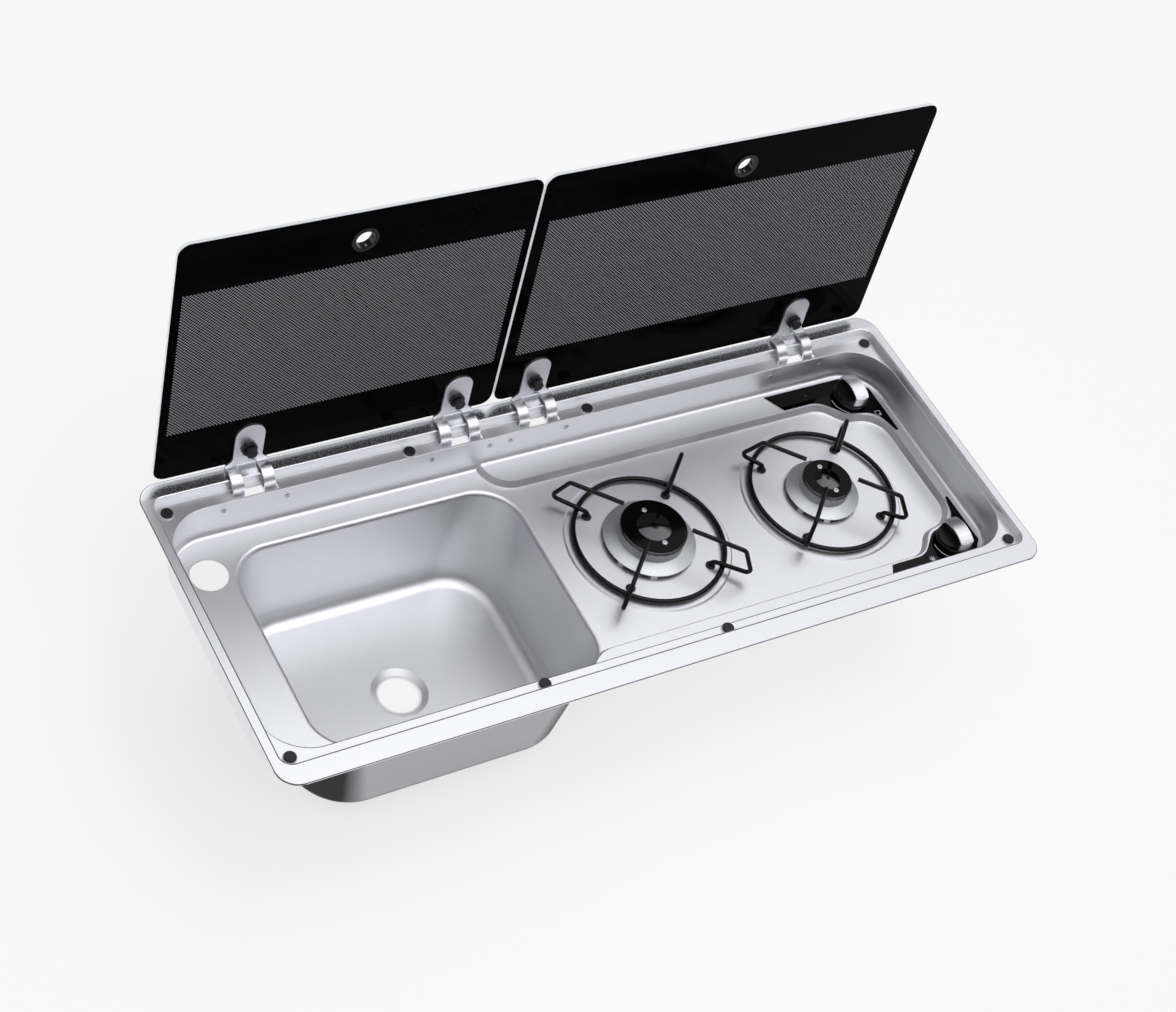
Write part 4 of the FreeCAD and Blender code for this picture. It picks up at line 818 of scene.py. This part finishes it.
@dataclass
class RearCorner(ControlCorner):
    """Rear corner, with the mark that shows which burner its knob feeds.

    Attributes:
        mark_mm: X and Y of the mark.
        mark_size_mm: Width of the mark.
        line_mm: Width of its line.
        dot_r_mm: Radius of its dot.
        lens_mm: X and Y of the small dark lens.
        lens_r_mm: Radius of the lens.
    """

    mark_mm: tuple[float, float] = (416.8, 80.3)
    mark_size_mm: float = 7.0
    line_mm: float = 0.7
    dot_r_mm: float = 1.2
    lens_mm: tuple[float, float] = (345.0, 128.5)
    lens_r_mm: float = 2.0

    def build(self, paint: dict[Finish, bpy.types.Material]) -> None:
        """Prints the arc and the burner mark, and sets in the small dark lens beside the knob.

        Args:
            paint: Material of each finish.

        Returns:
            None.
        """
        super().build(paint)
        deselect()
        place = self.spot(*self.lens_mm)
        bpy.ops.mesh.primitive_circle_add(
            vertices=ROUND_STEPS, radius=self.lens_r_mm * MM, fill_type="NGON", location=place
        )
        bpy.ops.object.mode_set(mode="EDIT")
        bpy.ops.mesh.inset(thickness=self.lens_r_mm * MM / 2)
        bpy.ops.object.mode_set(mode="OBJECT")
        thicken(self.ink_mm * MM)
        settle("rear_dark_lens", "unit", paint[BLACK_RUBBER])
        deselect()
        bpy.ops.mesh.primitive_plane_add(size=self.mark_size_mm * MM, location=self.spot(*self.mark_mm))
        bpy.ops.object.mode_set(mode="EDIT")
        bpy.ops.mesh.inset(thickness=self.line_mm * MM)
        bpy.ops.mesh.delete(type="FACE")
        x, y = self.mark_mm
        offset = self.mark_size_mm / 4
        place = self.spot(x + offset, y - offset)
        bpy.ops.mesh.primitive_circle_add(
            vertices=ROUND_STEPS, radius=self.dot_r_mm * MM, fill_type="NGON", location=place
        )
        bpy.ops.mesh.inset(thickness=self.dot_r_mm * MM / 2)
        bpy.ops.object.mode_set(mode="OBJECT")
        thicken(self.ink_mm * MM)
        settle("rear_burner_mark", "unit", paint[PALE_INK])


@dataclass
class FrontCorner(ControlCorner):
    """Front corner, with the spark mark of the igniter.

    Attributes:
        spark_mm: X and Y of the mark.
        spark_r_mm: Length of its rays.
        spark_points: Number of rays.
        spark_waist: Share of that length between two rays.
    """

    place: Corners = Corners.FRONT
    knob_mm: tuple[float, float] = (395.0, -110.0)
    spark_mm: tuple[float, float] = (358.2, -123.4)
    spark_r_mm: float = 5.2
    spark_points: int = 8
    spark_waist: float = 0.3

    def build(self, paint: dict[Finish, bpy.types.Material]) -> None:
        """Prints the arc and the spark mark.

        Args:
            paint: Material of each finish.

        Returns:
            None.
        """
        super().build(paint)
        deselect()
        centre = self.spot(*self.spark_mm)
        bpy.ops.mesh.primitive_circle_add(
            vertices=2 * self.spark_points, radius=self.spark_r_mm * MM, fill_type="NGON", location=centre
        )
        bpy.ops.object.mode_set(mode="EDIT")
        step = math.pi / self.spark_points
        pick(lambda co: round(math.atan2(co.y, co.x) / step) % 2 == 1)
        waist = self.spark_waist
        bpy.ops.transform.resize(value=(waist, waist, 1), center_override=centre)
        bpy.ops.object.mode_set(mode="OBJECT")
        thicken(self.ink_mm * MM)
        settle("front_spark_mark", "unit", paint[PALE_INK])


@dataclass
class GasTrain:
    """Gas inlet pipe and the bushes of the pan supports."""

    def dress(self, paint: dict[Finish, bpy.types.Material]) -> None:
        """Dresses the pipe and the bushes."""
        dress("gas_manifold", paint[DRAWN_ALUMINIUM])
        dress("foot_grommets", paint[BLACK_RUBBER])


@dataclass
class Studio:
    """White floor, soft light and the camera.

    Attributes:
        focal_px: Focal length in pixels of the photograph.
        azimuth: Degrees of the camera about the vertical.
        elevation: Degrees of the camera above the horizon.
        roll: Degrees that the picture is turned.
        aim_mm: Point that the camera looks at.
        distance_mm: From that point to the camera.
        floor_mm: Height of the floor.
        floor_size: Width of the floor in metres.
        floor_colour: Colour of the floor.
        floor_white: Share of plain white in the floor as it is seen.
        light_colour: Colour of the sky's light.
        horizon: Strength of the bright foot of the backdrop.
        horizon_ends: Heights at which that foot starts and is full.
        roof: Strength of the bright roof.
        roof_ends: Heights at which the roof starts and is full.
        roof_side: Degrees of the side where the roof is brightest.
        side_ends: Share of that side at which the roof is dim and at which it is full.
        far_side: Share of the roof's strength on the far side.
        box_m: Where the soft box hangs.
        box_size: Its width in metres.
        box_watts: Its power.
    """

    focal_px: float = 2342.603
    azimuth: float = -43.834
    elevation: float = 47.606
    roll: float = 20.437
    aim_mm: tuple[float, float, float] = (-13.365, 27.793, 2.0)
    distance_mm: float = 2420.92
    floor_mm: float = -191.5
    floor_size: float = 14.0
    floor_colour: str = "#FDFDFD"
    floor_white: float = 0.7
    light_colour: str = "#FBFBFF"
    horizon: float = 3.3
    horizon_ends: tuple[float, float] = (0.2, 0.14)
    roof: float = 1.8
    roof_ends: tuple[float, float] = (0.6, 0.74)
    roof_side: float = 330.0
    side_ends: tuple[float, float] = (-0.6, 0.6)
    far_side: float = 0.46
    box_m: tuple[float, float, float] = (0.1, 0.0, 2.0)
    box_size: float = 0.8
    box_watts: float = 2.5

    def camera(self) -> None:
        """Places the camera where the photograph was taken.

        Returns:
            None.
        """
        az, el, roll = (math.radians(turn) for turn in (self.azimuth, self.elevation, self.roll))
        back = Vector((math.sin(az) * math.cos(el), -math.cos(az) * math.cos(el), math.sin(el)))
        right = (-back).cross(Vector((0, 0, 1))).normalized()
        up = right.cross(-back)
        across = math.cos(roll) * right + math.sin(roll) * up
        above = -math.sin(roll) * right + math.cos(roll) * up
        eye = (Vector(self.aim_mm) + back * self.distance_mm) * MM
        lens = bpy.data.cameras.new("photo_camera")
        lens.sensor_width = SENSOR
        lens.lens = self.focal_px / PHOTO_WIDTH * SENSOR
        camera = bpy.data.objects.new("photo_camera", lens)
        bpy.context.scene.collection.objects.link(camera)
        axes = Matrix((across, above, back)).transposed().to_4x4()
        camera.matrix_world = Matrix.Translation(eye) @ axes
        bpy.context.scene.camera = camera

    def floor(self) -> None:
        """Lays the white floor.

        Returns:
            None.
        """
        deselect()
        bpy.ops.mesh.primitive_plane_add(size=self.floor_size, location=(0, 0, self.floor_mm * MM))
        floor = bpy.context.active_object
        floor.name = "studio_floor"
        bpy.ops.object.transform_apply(location=True, rotation=True, scale=True)
        material = bpy.data.materials.new("white_studio_floor")
        material.use_nodes = True
        tree = material.node_tree
        tree.nodes.clear()
        paths = add_node(tree, "ShaderNodeLightPath")
        seen = paths.outputs["Is Camera Ray"]
        for kind in ("Is Glossy Ray", "Is Transmission Ray"):
            either = {0: seen, 1: paths.outputs[kind]}
            seen = add_node(tree, "ShaderNodeMath", either, operation="MAXIMUM").outputs[0]
        part = {0: seen, 1: self.floor_white}
        share = add_node(tree, "ShaderNodeMath", part, operation="MULTIPLY").outputs[0]
        matt = add_node(tree, "ShaderNodeBsdfDiffuse", {"Color": linear(self.floor_colour)})
        white = add_node(tree, "ShaderNodeEmission", {"Color": linear(WHITE), "Strength": 1.0})
        mix = add_node(tree, "ShaderNodeMixShader", {0: share, 1: matt.outputs[0], 2: white.outputs[0]})
        add_node(tree, "ShaderNodeOutputMaterial", {"Surface": mix.outputs[0]})
        floor.data.materials.append(material)

    def lamp(self, name: str, place: tuple[float, float, float], size: float, watts: float) -> None:
        """Hangs one soft box, turned to the unit.

        Args:
            name: Name of the lamp.
            place: Where it hangs, in metres.
            size: Width of the box in metres.
            watts: Its power.

        Returns:
            None.
        """
        data = bpy.data.lights.new(name, "AREA")
        data.size = size
        data.energy = watts
        lamp = bpy.data.objects.new(name, data)
        bpy.context.scene.collection.objects.link(lamp)
        lamp.location = place
        lamp.rotation_euler = Vector(place).to_track_quat("Z", "Y").to_euler()

    def sky(self) -> None:
        """Lights the room with a bright roof on one side, a dark wall and the bright foot of the backdrop.

        Returns:
            None.
        """
        world = bpy.data.worlds.new("soft_studio")
        bpy.context.scene.world = world
        world.use_nodes = True
        tree = world.node_tree
        tree.nodes.clear()
        way = add_node(tree, "ShaderNodeTexCoord").outputs["Generated"]
        height = add_node(tree, "ShaderNodeSeparateXYZ", {0: way}).outputs["Z"]
        flat = add_node(tree, "ShaderNodeVectorMath", {0: way, 1: (1, 1, 0)}, operation="MULTIPLY").outputs[0]
        flat = add_node(tree, "ShaderNodeVectorMath", {0: flat}, operation="NORMALIZE").outputs[0]
        turn = math.radians(self.roof_side)
        axis = {0: flat, 1: (math.cos(turn), math.sin(turn), 0)}
        side = add_node(tree, "ShaderNodeVectorMath", axis, operation="DOT_PRODUCT").outputs["Value"]
        fades = (
            (height, self.roof_ends, 0.0, self.roof),
            (side, self.side_ends, self.far_side, 1.0),
            (height, self.horizon_ends, 0.0, self.horizon),
        )
        parts = {}
        for place, (value, ends, low, high) in enumerate(fades):
            span = {"Value": value, "From Min": ends[0], "From Max": ends[1], "To Min": low, "To Max": high}
            fade = add_node(tree, "ShaderNodeMapRange", span, interpolation_type="SMOOTHSTEP")
            parts[place] = fade.outputs[0]
        glow = add_node(tree, "ShaderNodeMath", parts, operation="MULTIPLY_ADD").outputs[0]
        paths = add_node(tree, "ShaderNodeLightPath")
        light = add_node(tree, "ShaderNodeBackground", {"Color": linear(self.light_colour), "Strength": glow})
        white = add_node(tree, "ShaderNodeBackground", {"Color": linear(WHITE), "Strength": 1.0})
        seen = {0: paths.outputs["Is Camera Ray"], 1: light.outputs[0], 2: white.outputs[0]}
        mix = add_node(tree, "ShaderNodeMixShader", seen)
        add_node(tree, "ShaderNodeOutputWorld", {"Surface": mix.outputs[0]})

    def build(self) -> None:
        """Sets up floor, lamp, sky and camera.

        Returns:
            None.
        """
        self.floor()
        self.lamp("overhead_soft_box", self.box_m, self.box_size, self.box_watts)
        self.sky()
        self.camera()
        bpy.context.scene.view_settings.view_transform = "Standard"


def main() -> None:
    """Builds and dresses the unit, then the studio round it.

    Returns:
        None.
    """
    logging.basicConfig(level=logging.INFO, format="%(message)s")
    paint = {finish: finish.make() for finish in FINISHES}
    SteelTray().dress(paint)
    GlassLid(Lids.SINK, SINK_GLASS).dress(paint)
    GlassLid(Lids.HOB, HOB_GLASS).dress(paint)
    for place in Burners:
        GasBurner(place).dress(paint)
    for corner in (RearCorner(), FrontCorner()):
        corner.dress(paint)
        corner.build(paint)
    GasTrain().dress(paint)
    Studio().build()


if __name__ == "__main__":
    main()
